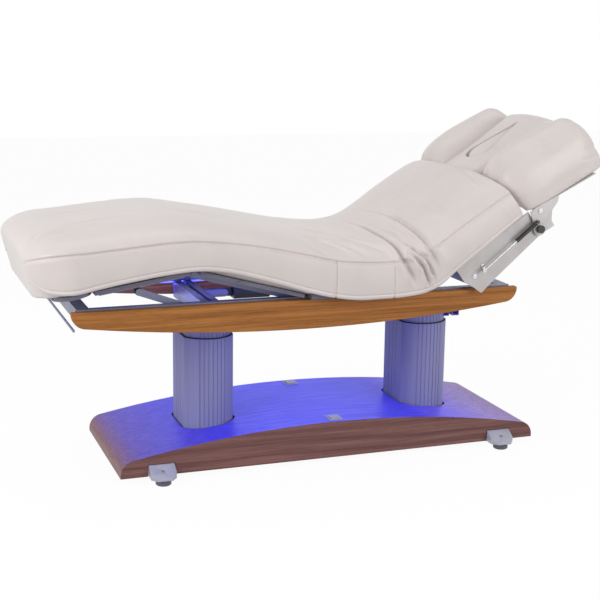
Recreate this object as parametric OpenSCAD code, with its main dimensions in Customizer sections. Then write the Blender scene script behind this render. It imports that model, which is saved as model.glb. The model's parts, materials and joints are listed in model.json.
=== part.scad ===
// Heated electric massage table: an arched wooden base with two telescopic lifting columns,
// a steel bed frame between curved wooden side rails, and an upholstered top in four sections.
// X runs from the foot end to the head end, Y from the front to the rear, Z up from the floor.
// The origin is on the floor, under the middle of the table's overall length and width.

/* [Base] */
// Length of the wooden base cover
base_len = 1450; // [1300:10:1600]
// Width of the base cover
base_w = 520; // [480:10:580]
// Height of the cover's crown over the floor
base_crown = 144; // [134:2:160]
// Height of the cover's flat ends over the floor
base_end = 70; // [66:1:80]
// Free height between the floor and the cover
base_clear = 22; // [20:1:28]
// Wall of the base cover
cover_wall = 18; // [14:1:20]
// Distance of the levelling feet from the middle, along the table
foot_x = 594; // [560:2:620]

/* [Columns] */
// Distance between the two columns' axes
column_pitch = 776; // [740:4:820]
// Column width along the table
column_w = 168; // [156:2:180]
// Column depth across the table
column_d = 252; // [236:2:270]
// Height of the fixed column's rim over the floor
column_rim = 416; // [400:2:430]
// Wall of the column profiles
column_wall = 4; // [3:0.5:5]
// Radius of the flutes in the columns
flute_r = 2; // [1.5:0.25:2.5]

/* [Bed frame] */
// Height of the hinge line over the floor
deck_z = 580; // [575:1:600]
// Width over the steel side tubes
frame_w = 576; // [570:2:590]
// Length of the bed frame over its wooden rails
frame_len = 1487; // [1460:1:1520]
// Distance of the frame's middle from the base's middle, toward the foot end
frame_back = 131.5; // [120:0.5:140]
// Thickness of the wooden side rails
rail_t = 22; // [18:1:26]
// Height of the wooden side rails at their middle
rail_h = 96; // [88:1:100]
// Radius of the rails' curved lower edge
rail_r = 5500; // [5000:100:6500]

/* [Sections] */
// Distance of the thigh section's hinge from the base's middle, toward the foot end
thigh_x = 142; // [130:1:150]
// Length of the thigh section between its hinges
thigh_len = 373; // [360:1:385]
// Slope of the thigh section at rest
thigh_angle = 15; // [12:0.5:17]
// Length of the calf section's board
calf_len = 430; // [410:5:450]
// Downward slope of the calf section at rest
calf_angle = 9; // [8:0.5:10]
// Distance of the back section's hinge from the base's middle, toward the head end
back_x = 284; // [280:1:300]
// Length of the back section
back_len = 387; // [380:1:400]
// Slope of the back section at rest
back_angle = 36; // [33:0.5:38]
// Slope of the head section against the back section
head_drop = 9.5; // [8:0.5:11]

/* [Upholstery] */
// Width of the mattress
pad_w = 750; // [730:5:780]
// Height of the mattress at its edges
pad_h = 128; // [118:2:136]
// Rise of the mattress from its edges to its middle
pad_crown = 20; // [12:1:26]
// Length of the calf cushion from the knee hinge
calf_pad_len = 525; // [510:5:540]
// Radius of the mattress's corners at the foot end
foot_corner_r = 115; // [100:5:130]
// Thickness of the plywood boards
board_t = 12; // [10:1:15]
// Height of the head bolsters
bolster_h = 168; // [158:2:176]
// Half width of the pad between the head bolsters
head_pad_half = 165; // [155:1:175]

/* [Hidden] */

// Fits shared by the whole table
cut = 1;
fit = 0.3;
slip = 0.1;
$fn = 48;

// Wooden base cover: an arch over its length with rounded ends
base_half = base_len / 2;
base_rise = base_crown - base_end;
arch_r = (pow(base_half, 2) + pow(base_rise, 2)) / (2 * base_rise);
base_end_r = base_end - base_clear - 4 * slip;
base_turn_x = base_half - base_end_r;
base_turn_z = base_crown - arch_r + sqrt(pow(arch_r - base_end_r, 2) - pow(base_turn_x, 2)) + slip;
function cover_turn(t) = base_turn_x * (arch_r - t) / (arch_r - base_end_r);
function arch_z(x) = base_crown - arch_r + sqrt(pow(arch_r, 2) - pow(x, 2));

// Steel chassis under the cover
chassis_tube_w = 50;
chassis_tube_h = 30;
chassis_z = base_clear + 2;
chassis_y = 118;
chassis_top = chassis_z + chassis_tube_h;
chassis_end_gap = 60;
column_plate_t = 10;
column_plate_edge = 24;
outrigger_w = 60;

// Foot brackets: faceted castings that slope down and out from notches in the cover
bracket_w = 82;
bracket_tip_w = 46;
bracket_out = 54;
bracket_in = 20;
bracket_bevel = 22;
bracket_low = 20;
bracket_top = 58;
bracket_nose_z = 26;
notch_gap = 3;
foot_out = 22;
foot_y = base_w / 2 + foot_out;
foot_pad_r = 25;
foot_pad_h = 16;
foot_pad_bevel = 3;
spindle_r = 6;
spindle_len = 32;

// Telescopic columns: flat sides and nearly half-round faces
column_x = column_pitch / 2;
column_flat_share = 0.564;
column_flat = column_d * column_flat_share;
column_bulge = (column_d - column_flat) / 2;
column_face_r = (pow(column_w / 2, 2) + pow(column_bulge, 2)) / (2 * column_bulge);
column_low = chassis_top + column_plate_t;
column_slide = 3;
inner_shrink = column_wall + column_slide;
inner_low = 120;
head_plate_t = 8;
column_head_rise = 54;
column_head_z = column_rim + column_head_rise;
flute_step_deg = 9;
flute_count = 3;
flute_side_pitch = 26;
gasket_gap = 7;
gasket_h = 5;
gasket_z = arch_z(column_x + column_w / 2 + gasket_gap) - cover_wall / 2 - gasket_h;
wiper_h = 3;

// Lifting spindles inside the columns
lift_tube_r = 22;
lift_rod_r = 15;
lift_motor_w = 78;
lift_motor_d = 110;
lift_motor_h = 60;
lift_tube_len = 282;
lift_rod_low = 117;

// Foot-operated rockers in the cover's crown
rocker_inset = 40;
rocker_y = base_w / 2 - rocker_inset;
rocker_len = 34;
rocker_w = 40;
bezel_rim = 6;
bezel_t = 5;
rocker_t = 9;
rocker_rise = 2;
rocker_gap = 1.5;
rocker_pin_r = 2;
rocker_pin_z = base_crown + bezel_t / 2 + rocker_rise - rocker_t + rocker_pin_r;

// Bed frame of rectangular steel tube, a little shorter than the wooden rails
rail_over = 20;
frame_mid = -frame_back;
frame_foot = frame_mid - frame_len / 2 + rail_over;
frame_head = frame_mid + frame_len / 2 - rail_over;
side_tube_w = 26;
side_tube_h = 40;
tube_wall = 2;
frame_play = 4;
frame_top = deck_z - frame_play;
frame_low = frame_top - side_tube_h;
frame_in = frame_w / 2 - side_tube_w;
end_tube_w = 40;
saddle_w = 24;
saddle_pitch = 36;
saddle_inset = 14;
saddle_y = frame_w / 2 - saddle_inset;
seat_bar_w = 30;
seat_bar_h = 20;
seat_bar_foot_x = -60;
seat_bar_head_x = 195;
rail_drop = 4;
rail_top = frame_top - rail_drop;
rail_low = rail_top - rail_h;
rail_end_r = 46;
rail_turn_x = frame_len / 2 - rail_end_r;
rail_turn_z = rail_low + rail_r - sqrt(pow(rail_r - rail_end_r, 2) - pow(rail_turn_x, 2)) - slip;
rail_curve_x = rail_turn_x * rail_r / (rail_r - rail_end_r);

// Hinges of the bed sections
hinge_r = 5;
eye_r = 12;
eye_w = 12;
section_inset = 14;
section_out = frame_in - section_inset;
section_tube = 25;
section_rib_y = 80;
lug_t = 6;
lug_r = 14;
board_gap = 14;
calf_frame_len = 300;
back_frame_len = 280;
frame_gap = 16;

// Drive levers on the thigh and the back section, with a slot for the actuator's pin
lever_y = 170;
lever_t = 8;
lever_reach = 75;
lever_r = 14;
lever_hub_r = 10;
fork_reach = 36;
drive_pin_r = 6;
slot_play = 2.6;
slot_run = 11;
thigh_swing = 17.5;
back_swing = 36;

// Linear actuators under the seat
actuator_z = deck_z - lever_reach;
actuator_r = 20;
actuator_rod_r = 11;
motor_w = 46;
motor_len = 130;
motor_h = 62;
fork_gap = lever_t + 4;
fork_t = 6;
fork_r = 13;
back_tube_end = 168;
back_tube_start = -235;
leg_tube_end = -72;
leg_tube_start = 235;
rod_tail = 56;
tail_len = 30;
clevis_t = 8;

// Support arms of the calf section
arm_x = -470;
arm_drop = 31;
arm_z = frame_top - arm_drop;
arm_len = 200;
arm_gap = 1;
arm_t = 6;
arm_w = 22;
arm_inset = 5;
arm_y = frame_in - arm_inset;
roller_r = 12;
roller_w = 20;

// Control box, light bars and paper roll bar
control_len = 270;
control_w = 150;
control_h = 46;
inlet_w = 28;
inlet_h = 20;
inlet_depth = 16;
led_w = 10;
led_h = 9;
led_margin = 70;
bar_r = 4;
bar_reach = 600;
bar_drop = 64;
bar_out = 12;
bar_socket_r = 6;
bar_socket_len = 26;

// Boards and cushions, the boards as wide as the side plates that they carry
plate_out = 26;
plate_y = frame_w / 2 + rail_t + plate_out;
plate_t = 4;
board_half = plate_y + plate_t;
board_corner = 60;
seat_board_t = deck_z + board_t - frame_top;
pad_half = pad_w / 2;
seat_pad_foot = -63;
seat_pad_head = 125;
knee_cut = 40;
lap_cut = 50;
hip_cut = 60;
neck_len = 44;
mat_t = 3;
mat_half = 280;
mat_margin = 30;
seam_share = 0.80;
seam_tuck = 5;
low_r = 10;
shoulder = 78;
calf_under = 55;
calf_under_len = 95;
calf_top_len = 80;
calf_top_share = 0.62;
back_round_len = 70;
back_round_share = 0.84;
seat_dip = 4;
fold_relief = 7;
ring_low_steps = 3;
ring_side_steps = 6;
ring_top_steps = 5;
back_steps = 4;
back_swell = 8;
neck_steps = 6;

// Side plates beside the back cushion and the adjustable head section
plate_foot_s = 107;
plate_top_n = 0;
plate_front_h = 50;
plate_bend_s = 17;
plate_bend_h = 85;
plate_toe_s = 28;
plate_toe_h = 118;
plate_heel_s = 98;
plate_heel_h = 109;
plate_flange = 66;
plate_flange_t = 3;
pivot_reach = 31;
pivot_s = back_len + pivot_reach;
pivot_n = -69;
pivot_r = 6;
pivot_boss = 22;
ear_play = 6;
ear_y = plate_y + plate_t + ear_play;
ear_t = 4;
ear_back_s = 8;
ear_neck_s = 14;
ear_neck_n = 22;
ear_chin_s = 12;
ear_chin_n = 18;
ear_nose_s = 52;
ear_nose_n = 16;
ear_brow_s = 50;
ear_brow_n = 6;
ear_rise_s = 66;
ear_rise_n = 36;
ear_far_s = 96;
ear_far_n = 52;
ear_tip_s = 108;
ear_flange = 60;
head_board_n = 71;
head_board_foot = 4;
head_board_len = 275;
head_board_half = 332;
head_half = 362;
head_narrow_share = 0.93;
head_pad_foot = -20;
head_pad_len = 300;
head_pad_h_foot = 122;
head_pad_h_end = 145;
head_pad_crown = 6;
bolster_foot = -18;
bolster_len = 306;
bolster_gap = 1;
head_lean_share = 0.36;
plug_s = 62;
plug_r = 56;
plug_tip_s = 232;
plug_gap = 0.3;
plug_steps = 26;
plug_rise = atan((head_pad_h_end - head_pad_h_foot) / head_pad_len);
knob_r = 13;
knob_h = 12;
strut_s = 180;
strut_n = -53;
crank_up = 28;
crank_side = 3;
crank_play = 2.6;
strut_play = 8;
strut_y = ear_y + ear_t + strut_play;
strut_rod_r = 3;
strut_tube_r = 7;
strut_tube_len = 70;
strut_end_gap = 26;
strut_eye_r = 7;
strut_eye_t = 4;
strut_pin_r = 3;
strut_dx = pivot_s + crank_side - strut_s;
strut_dz = pivot_n + crank_up - strut_n;
strut_tilt = atan2(strut_dz, strut_dx);
strut_len = sqrt(pow(strut_dx, 2) + pow(strut_dz, 2));

// Colours, as the photograph shows them
wood = "peru";
base_wood = "sienna";
leather = "linen";
steel = "silver";
dark = "dimgray";
alloy = "lightsteelblue";

// Frames of reference of the moving sections
module at_thigh() translate([base_x - thigh_x, 0, deck_z]) rotate([0, thigh_angle, 0]) children();
module at_calf() at_thigh() translate([-thigh_len, 0, 0])
    rotate([0, -thigh_angle - calf_angle, 0]) children();
module at_back() translate([base_x + back_x, 0, deck_z]) rotate([0, -back_angle, 0]) children();
module at_head() at_back() translate([pivot_s, 0, pivot_n]) rotate([0, head_drop, 0]) children();
module both_sides() {
    children();
    mirror([0, 1, 0]) children();
}
module lying(len) rotate([-90, 0, 0]) translate([0, 0, -len / 2]) linear_extrude(len) children();
module upright(len) rotate([90, 0, 0]) translate([0, 0, -len / 2]) linear_extrude(len) children();
module rod_y(r, y0, y1) translate([0, y0, 0]) rotate([-90, 0, 0]) cylinder(r = r, h = y1 - y0);
module rod_x(r, x0, x1) translate([x0, 0, 0]) rotate([0, 90, 0]) cylinder(r = r, h = x1 - x0);
module box_at(x0, x1, y0, y1, z0, z1) translate([x0, y0, z0]) cube([x1 - x0, y1 - y0, z1 - z0]);
module tube_x(x0, x1, y0, y1, z0, z1, wall) difference() {
    box_at(x0, x1, y0, y1, z0, z1);
    box_at(x0 - cut, x1 + cut, y0 + wall, y1 - wall, z0 + wall, z1 - wall);
}
module tube_y(x0, x1, y0, y1, z0, z1, wall) difference() {
    box_at(x0, x1, y0, y1, z0, z1);
    box_at(x0 + wall, x1 - wall, y0 - cut, y1 + cut, z0 + wall, z1 - wall);
}

// Cushion outlines: one ring is a closed list of points across the cushion, and stations along it
// give the cushion its length. A ring starts at the middle of the underside.
function ease(t) = sqrt(1 - pow(1 - min(max(t, 0), 1), 2));
function swell(d, r, share) = share + (1 - share) * ease(d / r);
function half_ring(w, low, h, crown) = let(
    seam = low + (h - low) * seam_share,
    edge = w - seam_tuck - shoulder,
    turn = min(low_r, (seam - low) / 3))
    concat(
        [[0, low]],
        [for (i = [0:ring_low_steps]) let(a = 90 * i / ring_low_steps)
            [w - turn + turn * sin(a), low + turn - turn * cos(a)]],
        [[w, (low + seam) / 2], [w - seam_tuck, seam]],
        [for (i = [1:ring_side_steps]) let(a = 90 * i / ring_side_steps)
            [edge + shoulder * cos(a), seam + (h - seam) * sin(a)]],
        [for (i = [1:ring_top_steps]) let(y = edge * (1 - i / ring_top_steps))
            [y, h + crown * (1 - pow(y / edge, 2))]]);
function ring(w, low, h, crown) = let(half = half_ring(w, low, h, crown), n = len(half))
    concat(half, [for (i = [n - 2:-1:1]) [-half[i].x, half[i].y]]);
function place(r, s, lean) = [for (p = r) [s + lean * p.y, p.x, p.y]];
function flat(list) = [for (part = list) for (p = part) p];
function turned(p, a) = [p.x * cos(a) + p.z * sin(a), p.y, p.z * cos(a) - p.x * sin(a)];
function shifted(p, x, z) = [p.x + x, p.y, p.z + z];

// A closed skin over a list of rings with equal counts of points
module skin(rings) {
    n = len(rings[0]);
    m = len(rings);
    polyhedron(points = flat(rings), faces = concat(
        [for (i = [0:m - 2]) for (j = [0:n - 1]) let(k = (j + 1) % n)
            [i * n + j, (i + 1) * n + k, i * n + k]],
        [for (i = [0:m - 2]) for (j = [0:n - 1]) let(k = (j + 1) % n)
            [i * n + j, (i + 1) * n + j, (i + 1) * n + k]],
        [for (j = [1:n - 2]) [0, j, j + 1]],
        [for (j = [1:n - 2]) [(m - 1) * n, (m - 1) * n + j + 1, (m - 1) * n + j]]));
}

// Rings of the long mattress in each section's own frame
top_h = board_t + pad_h;
mat_ring = ring(pad_half, board_t, top_h, pad_crown);
dip_ring = ring(pad_half, board_t, top_h - seat_dip, pad_crown);
knee_ring = ring(pad_half, board_t, top_h - 3 * seat_dip, pad_crown);

// A bend of the mattress: rings turn about a hinge from one section's face to the next one's
function bend(h, steps, x0, z0, xh, zh, x1, z1, a0, a1) = [for (i = [0:steps]) let(
    t = i / steps,
    r = ring(pad_half, board_t + fold_relief * sin(180 * t), h, pad_crown),
    x = pow(1 - t, 2) * x0 + 2 * t * (1 - t) * xh + pow(t, 2) * x1,
    z = pow(1 - t, 2) * z0 + 2 * t * (1 - t) * zh + pow(t, 2) * z1,
    a = a0 + (a1 - a0) * t)
    [for (p = place(r, 0, 0)) shifted(turned(p, a), x, z)]];

// Calf cushion: full width to its rounded corners, undercut below and rounded off on top
calf_steps = 13;
calf_rings = [for (i = [0:calf_steps]) let(
    s = knee_cut + (calf_pad_len - knee_cut) * sin(90 * i / calf_steps),
    d = calf_pad_len - s,
    c = min(d, foot_corner_r),
    w = pad_half - foot_corner_r + sqrt(pow(foot_corner_r, 2) - pow(foot_corner_r - c, 2)),
    low = board_t + calf_under * (1 - ease(d / calf_under_len)),
    h = board_t + pad_h * swell(d, calf_top_len, calf_top_share))
    place(ring(w, low, h, pad_crown * ease(d / calf_pad_len + 0.1)), -s, 0)];

// Head cushions in the head section's frame
cushion_n = head_board_n + board_t;
function head_side(s) = head_half * (1 - (1 - head_narrow_share) * max(s, 0) / bolster_len);
bolster_steps = 13;
bolster_end_len = 60;
bolster_foot_len = 120;
bolster_end_share = 0.55;
bolster_foot_share = 0.5;
bolster_side_share = 0.80;
bolster_shoulder_share = 0.62;
bolster_crown = 10;
bolster_seam_share = 0.52;
function bolster_ring(w, h) = let(
    edge = w * (1 - bolster_shoulder_share),
    seam = h * bolster_seam_share,
    half = concat(
        [[0, 0]],
        [for (i = [0:ring_low_steps]) let(a = 90 * i / ring_low_steps)
            [w - low_r + low_r * sin(a), low_r - low_r * cos(a)]],
        [[w, (low_r + seam) / 2], [w, seam]],
        [for (i = [1:ring_side_steps]) let(a = 90 * i / ring_side_steps)
            [edge + (w - edge) * cos(a), seam + (h - seam) * sin(a)]],
        [[edge / 2, h + bolster_crown * 3 / 4], [0, h + bolster_crown]]),
    n = len(half))
    concat(half, [for (i = [n - 2:-1:1]) [-half[i].x, half[i].y]]);
bolster_rings = [for (i = [0:bolster_steps]) let(
    s = bolster_foot + (bolster_len - bolster_foot) * (1 - cos(180 * i / bolster_steps)) / 2,
    inner = head_pad_half + bolster_gap,
    outer = head_side(s),
    grow = min(swell(s - bolster_foot, bolster_foot_len, bolster_side_share),
        swell(bolster_len - s, bolster_end_len, bolster_side_share)),
    tall = min(swell(s - bolster_foot, bolster_foot_len, bolster_foot_share),
        swell(bolster_len - s, bolster_end_len, bolster_end_share)),
    lean = -head_lean_share * max(0, 1 - (s - bolster_foot) / bolster_foot_len))
    [for (p = bolster_ring((outer - inner) / 2 * grow, (bolster_h - bolster_crown) * tall))
        [s + lean * p.y, (outer + inner) / 2 + p.x, cushion_n + p.y]]];
head_pad_steps = 9;
head_pad_end_len = 40;
head_pad_end_share = 0.72;
function head_pad_rings(low) = [for (i = [0:head_pad_steps]) let(
    s = head_pad_foot + (head_pad_len - head_pad_foot) * sin(90 * i / head_pad_steps),
    h0 = head_pad_h_foot + (head_pad_h_end - head_pad_h_foot) * (s - head_pad_foot) / head_pad_len,
    h = h0 * swell(head_pad_len - s, head_pad_end_len, head_pad_end_share),
    lean = -head_lean_share * max(0, 1 - (s - head_pad_foot) / bolster_foot_len))
    [for (p = ring(head_pad_half, low, h, head_pad_crown)) [s + lean * p.y, p.x, cushion_n + p.y]]];

// The base's middle lies where the table's foot tip and head tip are equally far from the origin
knee_px = -thigh_x - thigh_len * cos(thigh_angle);
pivot_px = back_x + pivot_s * cos(back_angle) - pivot_n * sin(back_angle);
foot_tip = min([for (p = flat(calf_rings)) turned(p, -calf_angle).x]) + knee_px;
head_tip = max([for (p = flat(bolster_rings)) turned(p, head_drop - back_angle).x]) + pivot_px;
base_x = -(foot_tip + head_tip) / 2;

// The support arms' slope, from the line that the calf section's bars touch the rollers on
knee_pz = deck_z + thigh_len * sin(thigh_angle);
arm_reach = (arm_x - knee_px) * sin(calf_angle) - (arm_z - knee_pz) * cos(calf_angle)
    - section_tube - roller_r - arm_gap;
arm_angle = asin(arm_reach / arm_len) - calf_angle;

// Outline of the base cover from the side, drawn in by a wall
module cover_side(t) intersection() {
    translate([0, base_crown - arch_r]) circle(r = arch_r - t, $fn = 720);
    union() {
        translate([t - base_half, base_clear - cut])
            square([base_len - 2 * t, base_turn_z - base_clear + cut]);
        translate([-cover_turn(t), base_clear - cut]) square([2 * cover_turn(t), base_crown]);
        for (side = [-1, 1]) translate([side * base_turn_x, base_turn_z]) circle(r = base_end_r - t);
    }
}
// Plan of a column profile, drawn in by a wall
module column_plan(t) {
    square([column_w - 2 * t, column_flat], center = true);
    for (side = [-1, 1]) intersection() {
        translate([0, side * (column_d / 2 - column_face_r)]) circle(r = column_face_r - t, $fn = 96);
        translate([0, side * column_d / 4]) square([column_w - 2 * t, column_d / 2], center = true);
    }
}
module column_flutes(t) {
    for (side = [-1, 1], n = [-flute_count:flute_count])
        translate([0, side * (column_d / 2 - column_face_r)]) rotate(side * 90 + n * flute_step_deg)
            translate([column_face_r - t, 0]) circle(r = flute_r, $fn = 16);
    for (side = [-1, 1], n = [-1:1])
        translate([side * (column_w / 2 - t), n * flute_side_pitch]) circle(r = flute_r, $fn = 16);
}
module foot_plan() polygon([
    [-bracket_w / 2, -bracket_in], [bracket_w / 2, -bracket_in],
    [bracket_w / 2, bracket_out - bracket_bevel], [bracket_tip_w / 2, bracket_out],
    [-bracket_tip_w / 2, bracket_out], [-bracket_w / 2, bracket_out - bracket_bevel]]);
module foot_side() polygon([
    [-bracket_in, bracket_low], [bracket_out, bracket_low], [bracket_out, bracket_nose_z],
    [0, bracket_top], [-bracket_in, bracket_top]]);
module four_feet() for (sx = [-1, 1]) both_sides()
    translate([base_x + sx * foot_x, base_w / 2, 0]) children();

// Base
module base_cover() color(base_wood) difference() {
    translate([base_x, 0, 0]) difference() {
        intersection() {
            upright(base_w) cover_side(0);
            box_at(-base_half, base_half, -base_w / 2, base_w / 2, base_clear, base_crown);
        }
        upright(base_w - 2 * cover_wall) cover_side(cover_wall);
        for (side = [-1, 1]) translate([side * column_x, 0, base_clear])
            linear_extrude(base_crown) column_plan(-gasket_gap);
        both_sides() translate([0, rocker_y, 0])
            box_at(-rocker_len / 2 - bezel_rim / 2, rocker_len / 2 + bezel_rim / 2,
                -rocker_w / 2 - bezel_rim / 2, rocker_w / 2 + bezel_rim / 2, base_clear, base_crown + cut);
    }
    four_feet() box_at(-bracket_w / 2 - notch_gap, bracket_w / 2 + notch_gap,
        -cover_wall - cut, cut, base_clear - cut, bracket_top + notch_gap);
}
module base_chassis() color(dark) translate([base_x, 0, 0]) {
    end_x = base_half - chassis_end_gap;
    difference() {
        union() {
            both_sides() box_at(-end_x, end_x, chassis_y - chassis_tube_w / 2,
                chassis_y + chassis_tube_w / 2, chassis_z, chassis_top);
            for (side = [-1, 1]) translate([side * foot_x, 0, 0])
                box_at(-outrigger_w / 2, outrigger_w / 2, cover_wall - base_w / 2,
                    base_w / 2 - cover_wall, chassis_z, chassis_top);
            for (side = [-1, 1]) translate([side * column_x, 0, 0])
                box_at(-column_w / 2 - column_plate_edge, column_w / 2 + column_plate_edge,
                    -column_d / 2 - column_plate_edge, column_d / 2 + column_plate_edge,
                    chassis_top, column_low);
        }
        both_sides() box_at(-end_x - cut, end_x + cut, chassis_y - chassis_tube_w / 2 + tube_wall,
            chassis_y + chassis_tube_w / 2 - tube_wall, chassis_z + tube_wall, chassis_top - tube_wall);
    }
}
module foot_brackets() color(steel) four_feet() difference() {
    intersection() {
        translate([0, 0, bracket_low]) linear_extrude(bracket_top - bracket_low) foot_plan();
        rotate([90, 0, 90]) translate([0, 0, -bracket_w / 2]) linear_extrude(bracket_w) foot_side();
        box_at(-bracket_w / 2, bracket_w / 2, -cover_wall, bracket_out, bracket_low, bracket_top);
    }
    translate([0, foot_y - base_w / 2, bracket_low - cut])
        cylinder(r = spindle_r + slip, h = spindle_len - bracket_low + foot_pad_h + 2 * cut);
}
module levelling_foot(sx, sy) color(dark) translate([base_x + sx * foot_x, sy * foot_y, 0]) {
    cylinder(r1 = foot_pad_r - foot_pad_bevel, r2 = foot_pad_r, h = foot_pad_bevel);
    translate([0, 0, foot_pad_bevel]) cylinder(r = foot_pad_r, h = foot_pad_h - foot_pad_bevel);
    translate([0, 0, foot_pad_h]) cylinder(r = spindle_r, h = spindle_len - foot_pad_h);
}
module foot_front_left() levelling_foot(-1, -1);
module foot_front_right() levelling_foot(1, -1);
module foot_rear_left() levelling_foot(-1, 1);
module foot_rear_right() levelling_foot(1, 1);
module column_outer(side) color(alloy) translate([base_x + side * column_x, 0, column_low])
    linear_extrude(column_rim - column_low) difference() {
        column_plan(0);
        column_plan(column_wall);
        column_flutes(0);
    }
module column_outer_left() column_outer(-1);
module column_outer_right() column_outer(1);
module column_gaskets() color("black") for (side = [-1, 1])
    translate([base_x + side * column_x, 0, gasket_z]) linear_extrude(gasket_h) difference() {
        column_plan(fit - gasket_gap);
        column_plan(-fit);
    }
module column_wipers() color("black") for (side = [-1, 1])
    translate([base_x + side * column_x, 0, column_rim]) linear_extrude(wiper_h) difference() {
        column_plan(column_wall / 4);
        column_plan(inner_shrink - fit);
    }
module lift_tubes() color(dark) for (side = [-1, 1])
    translate([base_x + side * column_x, 0, column_low]) difference() {
        cylinder(r = lift_tube_r, h = lift_tube_len);
        translate([0, 0, cut]) cylinder(r = lift_rod_r + slip, h = column_rim);
    }
module switch_bezels() color(steel) both_sides() translate([base_x, rocker_y, 0]) difference() {
    union() {
        box_at(-rocker_len / 2 - bezel_rim, rocker_len / 2 + bezel_rim,
            -rocker_w / 2 - bezel_rim, rocker_w / 2 + bezel_rim, base_crown, base_crown + bezel_t / 2);
        box_at(fit - rocker_len / 2 - bezel_rim / 2, rocker_len / 2 + bezel_rim / 2 - fit,
            fit - rocker_w / 2 - bezel_rim / 2, rocker_w / 2 + bezel_rim / 2 - fit,
            base_crown - cover_wall, base_crown);
    }
    box_at(-rocker_len / 2 - rocker_gap / 2, rocker_len / 2 + rocker_gap / 2,
        -rocker_w / 2 - rocker_gap / 2, rocker_w / 2 + rocker_gap / 2,
        base_crown - cover_wall + bezel_t, base_crown + bezel_t);
    translate([0, 0, rocker_pin_z]) rod_y(rocker_pin_r + slip, -rocker_w / 2 - bezel_rim / 2 + cut,
        rocker_w / 2 + bezel_rim / 2 - cut);
}
module rocker(side) color(dark) translate([base_x, side * rocker_y, 0]) {
    box_at(-rocker_len / 2 + rocker_gap, rocker_len / 2 - rocker_gap, -rocker_w / 2, rocker_w / 2,
        rocker_pin_z, base_crown + bezel_t / 2 + rocker_rise);
    translate([0, 0, rocker_pin_z]) rod_y(rocker_pin_r, -rocker_w / 2 - bezel_rim / 2 + 2 * cut,
        rocker_w / 2 + bezel_rim / 2 - 2 * cut);
}
module rocker_front() rocker(-1);
module rocker_rear() rocker(1);

// Lifting carriage
module column_inner(side) color(alloy) translate([base_x + side * column_x, 0, inner_low])
    linear_extrude(column_head_z - inner_low) difference() {
        column_plan(inner_shrink);
        column_plan(inner_shrink + column_wall);
        column_flutes(inner_shrink);
    }
module column_inner_left() column_inner(-1);
module column_inner_right() column_inner(1);
module column_heads() color(dark) for (side = [-1, 1])
    translate([base_x + side * column_x, 0, column_head_z]) linear_extrude(head_plate_t)
        column_plan(inner_shrink - column_wall / 2);
module lift_motors() color(dark) for (side = [-1, 1])
    translate([base_x + side * column_x, 0, 0]) {
        box_at(-lift_motor_w / 2, lift_motor_w / 2, -lift_motor_d / 2, lift_motor_d / 2,
            column_head_z - lift_motor_h, column_head_z);
        translate([0, 0, lift_rod_low]) cylinder(r = lift_rod_r, h = column_head_z - lift_motor_h - lift_rod_low);
    }
module side_tubes() color(steel) both_sides() tube_x(base_x + frame_foot, base_x + frame_head,
    frame_in, frame_w / 2, frame_low, frame_top, tube_wall);
module end_tubes() color(steel) {
    tube_y(base_x + frame_foot, base_x + frame_foot + end_tube_w, -frame_in, frame_in,
        frame_low, frame_top, tube_wall);
    tube_y(base_x + frame_head - end_tube_w, base_x + frame_head, -frame_in, frame_in,
        frame_low, frame_top, tube_wall);
}
module cross_tubes() color(steel) translate([base_x, 0, 0]) {
    for (side = [-1, 1], beam = [-1, 1]) translate([side * column_x + beam * saddle_pitch / 2, 0, 0])
        tube_y(-saddle_w / 2, saddle_w / 2, -saddle_y, saddle_y,
            column_head_z + head_plate_t, frame_low, tube_wall);
    for (x = [seat_bar_foot_x, seat_bar_head_x]) tube_y(x - seat_bar_w / 2, x + seat_bar_w / 2,
        -frame_in, frame_in, frame_top - seat_bar_h, frame_top, tube_wall);
}
// Outline of a wooden rail: a straight top, a curved lower edge and rounded lower corners
module rail_side() translate([frame_mid, 0]) intersection() {
    translate([0, rail_low + rail_r]) circle(r = rail_r, $fn = 720);
    translate([-frame_len / 2 - cut, rail_low - cut]) square([frame_len + 2 * cut, rail_h + cut]);
    union() {
        translate([-rail_curve_x, rail_low - cut]) square([2 * rail_curve_x, rail_h + 2 * cut]);
        for (side = [-1, 1]) translate([side * rail_turn_x, rail_turn_z]) circle(r = rail_end_r);
    }
}
module wood_rail(side) color(wood) translate([base_x, side * (frame_w / 2 + rail_t / 2), 0])
    upright(rail_t) rail_side();
module wood_rail_front() wood_rail(-1);
module wood_rail_rear() wood_rail(1);
module hinge_lug(x) translate([x, 0, 0]) difference() {
    union() {
        translate([0, 0, deck_z]) rod_y(lug_r, frame_in - lug_t, frame_in);
        box_at(-lug_r, lug_r, frame_in - lug_t, frame_in, frame_low, deck_z);
    }
    translate([0, 0, deck_z]) rod_y(hinge_r + slip, frame_in - lug_t - cut, frame_in + cut);
}
module actuator_bracket(x, y, side) {
    reach = side * (column_x - saddle_pitch / 2 - saddle_w / 2);
    x0 = min(x, reach);
    x1 = max(x, reach);
    for (cheek = [-1, 1]) difference() {
        translate([0, y + cheek * (clevis_t / 2 + fork_t / 2 + slip), 0]) union() {
            box_at(x0, x1, -fork_t / 2, fork_t / 2, actuator_z - fork_r, actuator_z + fork_r);
            translate([x, 0, actuator_z]) rod_y(fork_r, -fork_t / 2, fork_t / 2);
        }
        translate([x, y, actuator_z]) rod_y(drive_pin_r + slip, -clevis_t * 2, clevis_t * 2);
    }
    translate([x, y, actuator_z]) rod_y(drive_pin_r, -clevis_t / 2 - fork_t - slip,
        clevis_t / 2 + fork_t + slip);
}
module frame_brackets() color(steel) translate([base_x, 0, 0]) {
    both_sides() hinge_lug(-thigh_x);
    both_sides() hinge_lug(back_x);
    both_sides() translate([arm_x, 0, arm_z]) rod_y(hinge_r, arm_y - arm_t - fit, frame_in);
    actuator_bracket(back_tube_start - tail_len, lever_y, -1);
    actuator_bracket(leg_tube_start + tail_len, -lever_y, 1);
}
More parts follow.
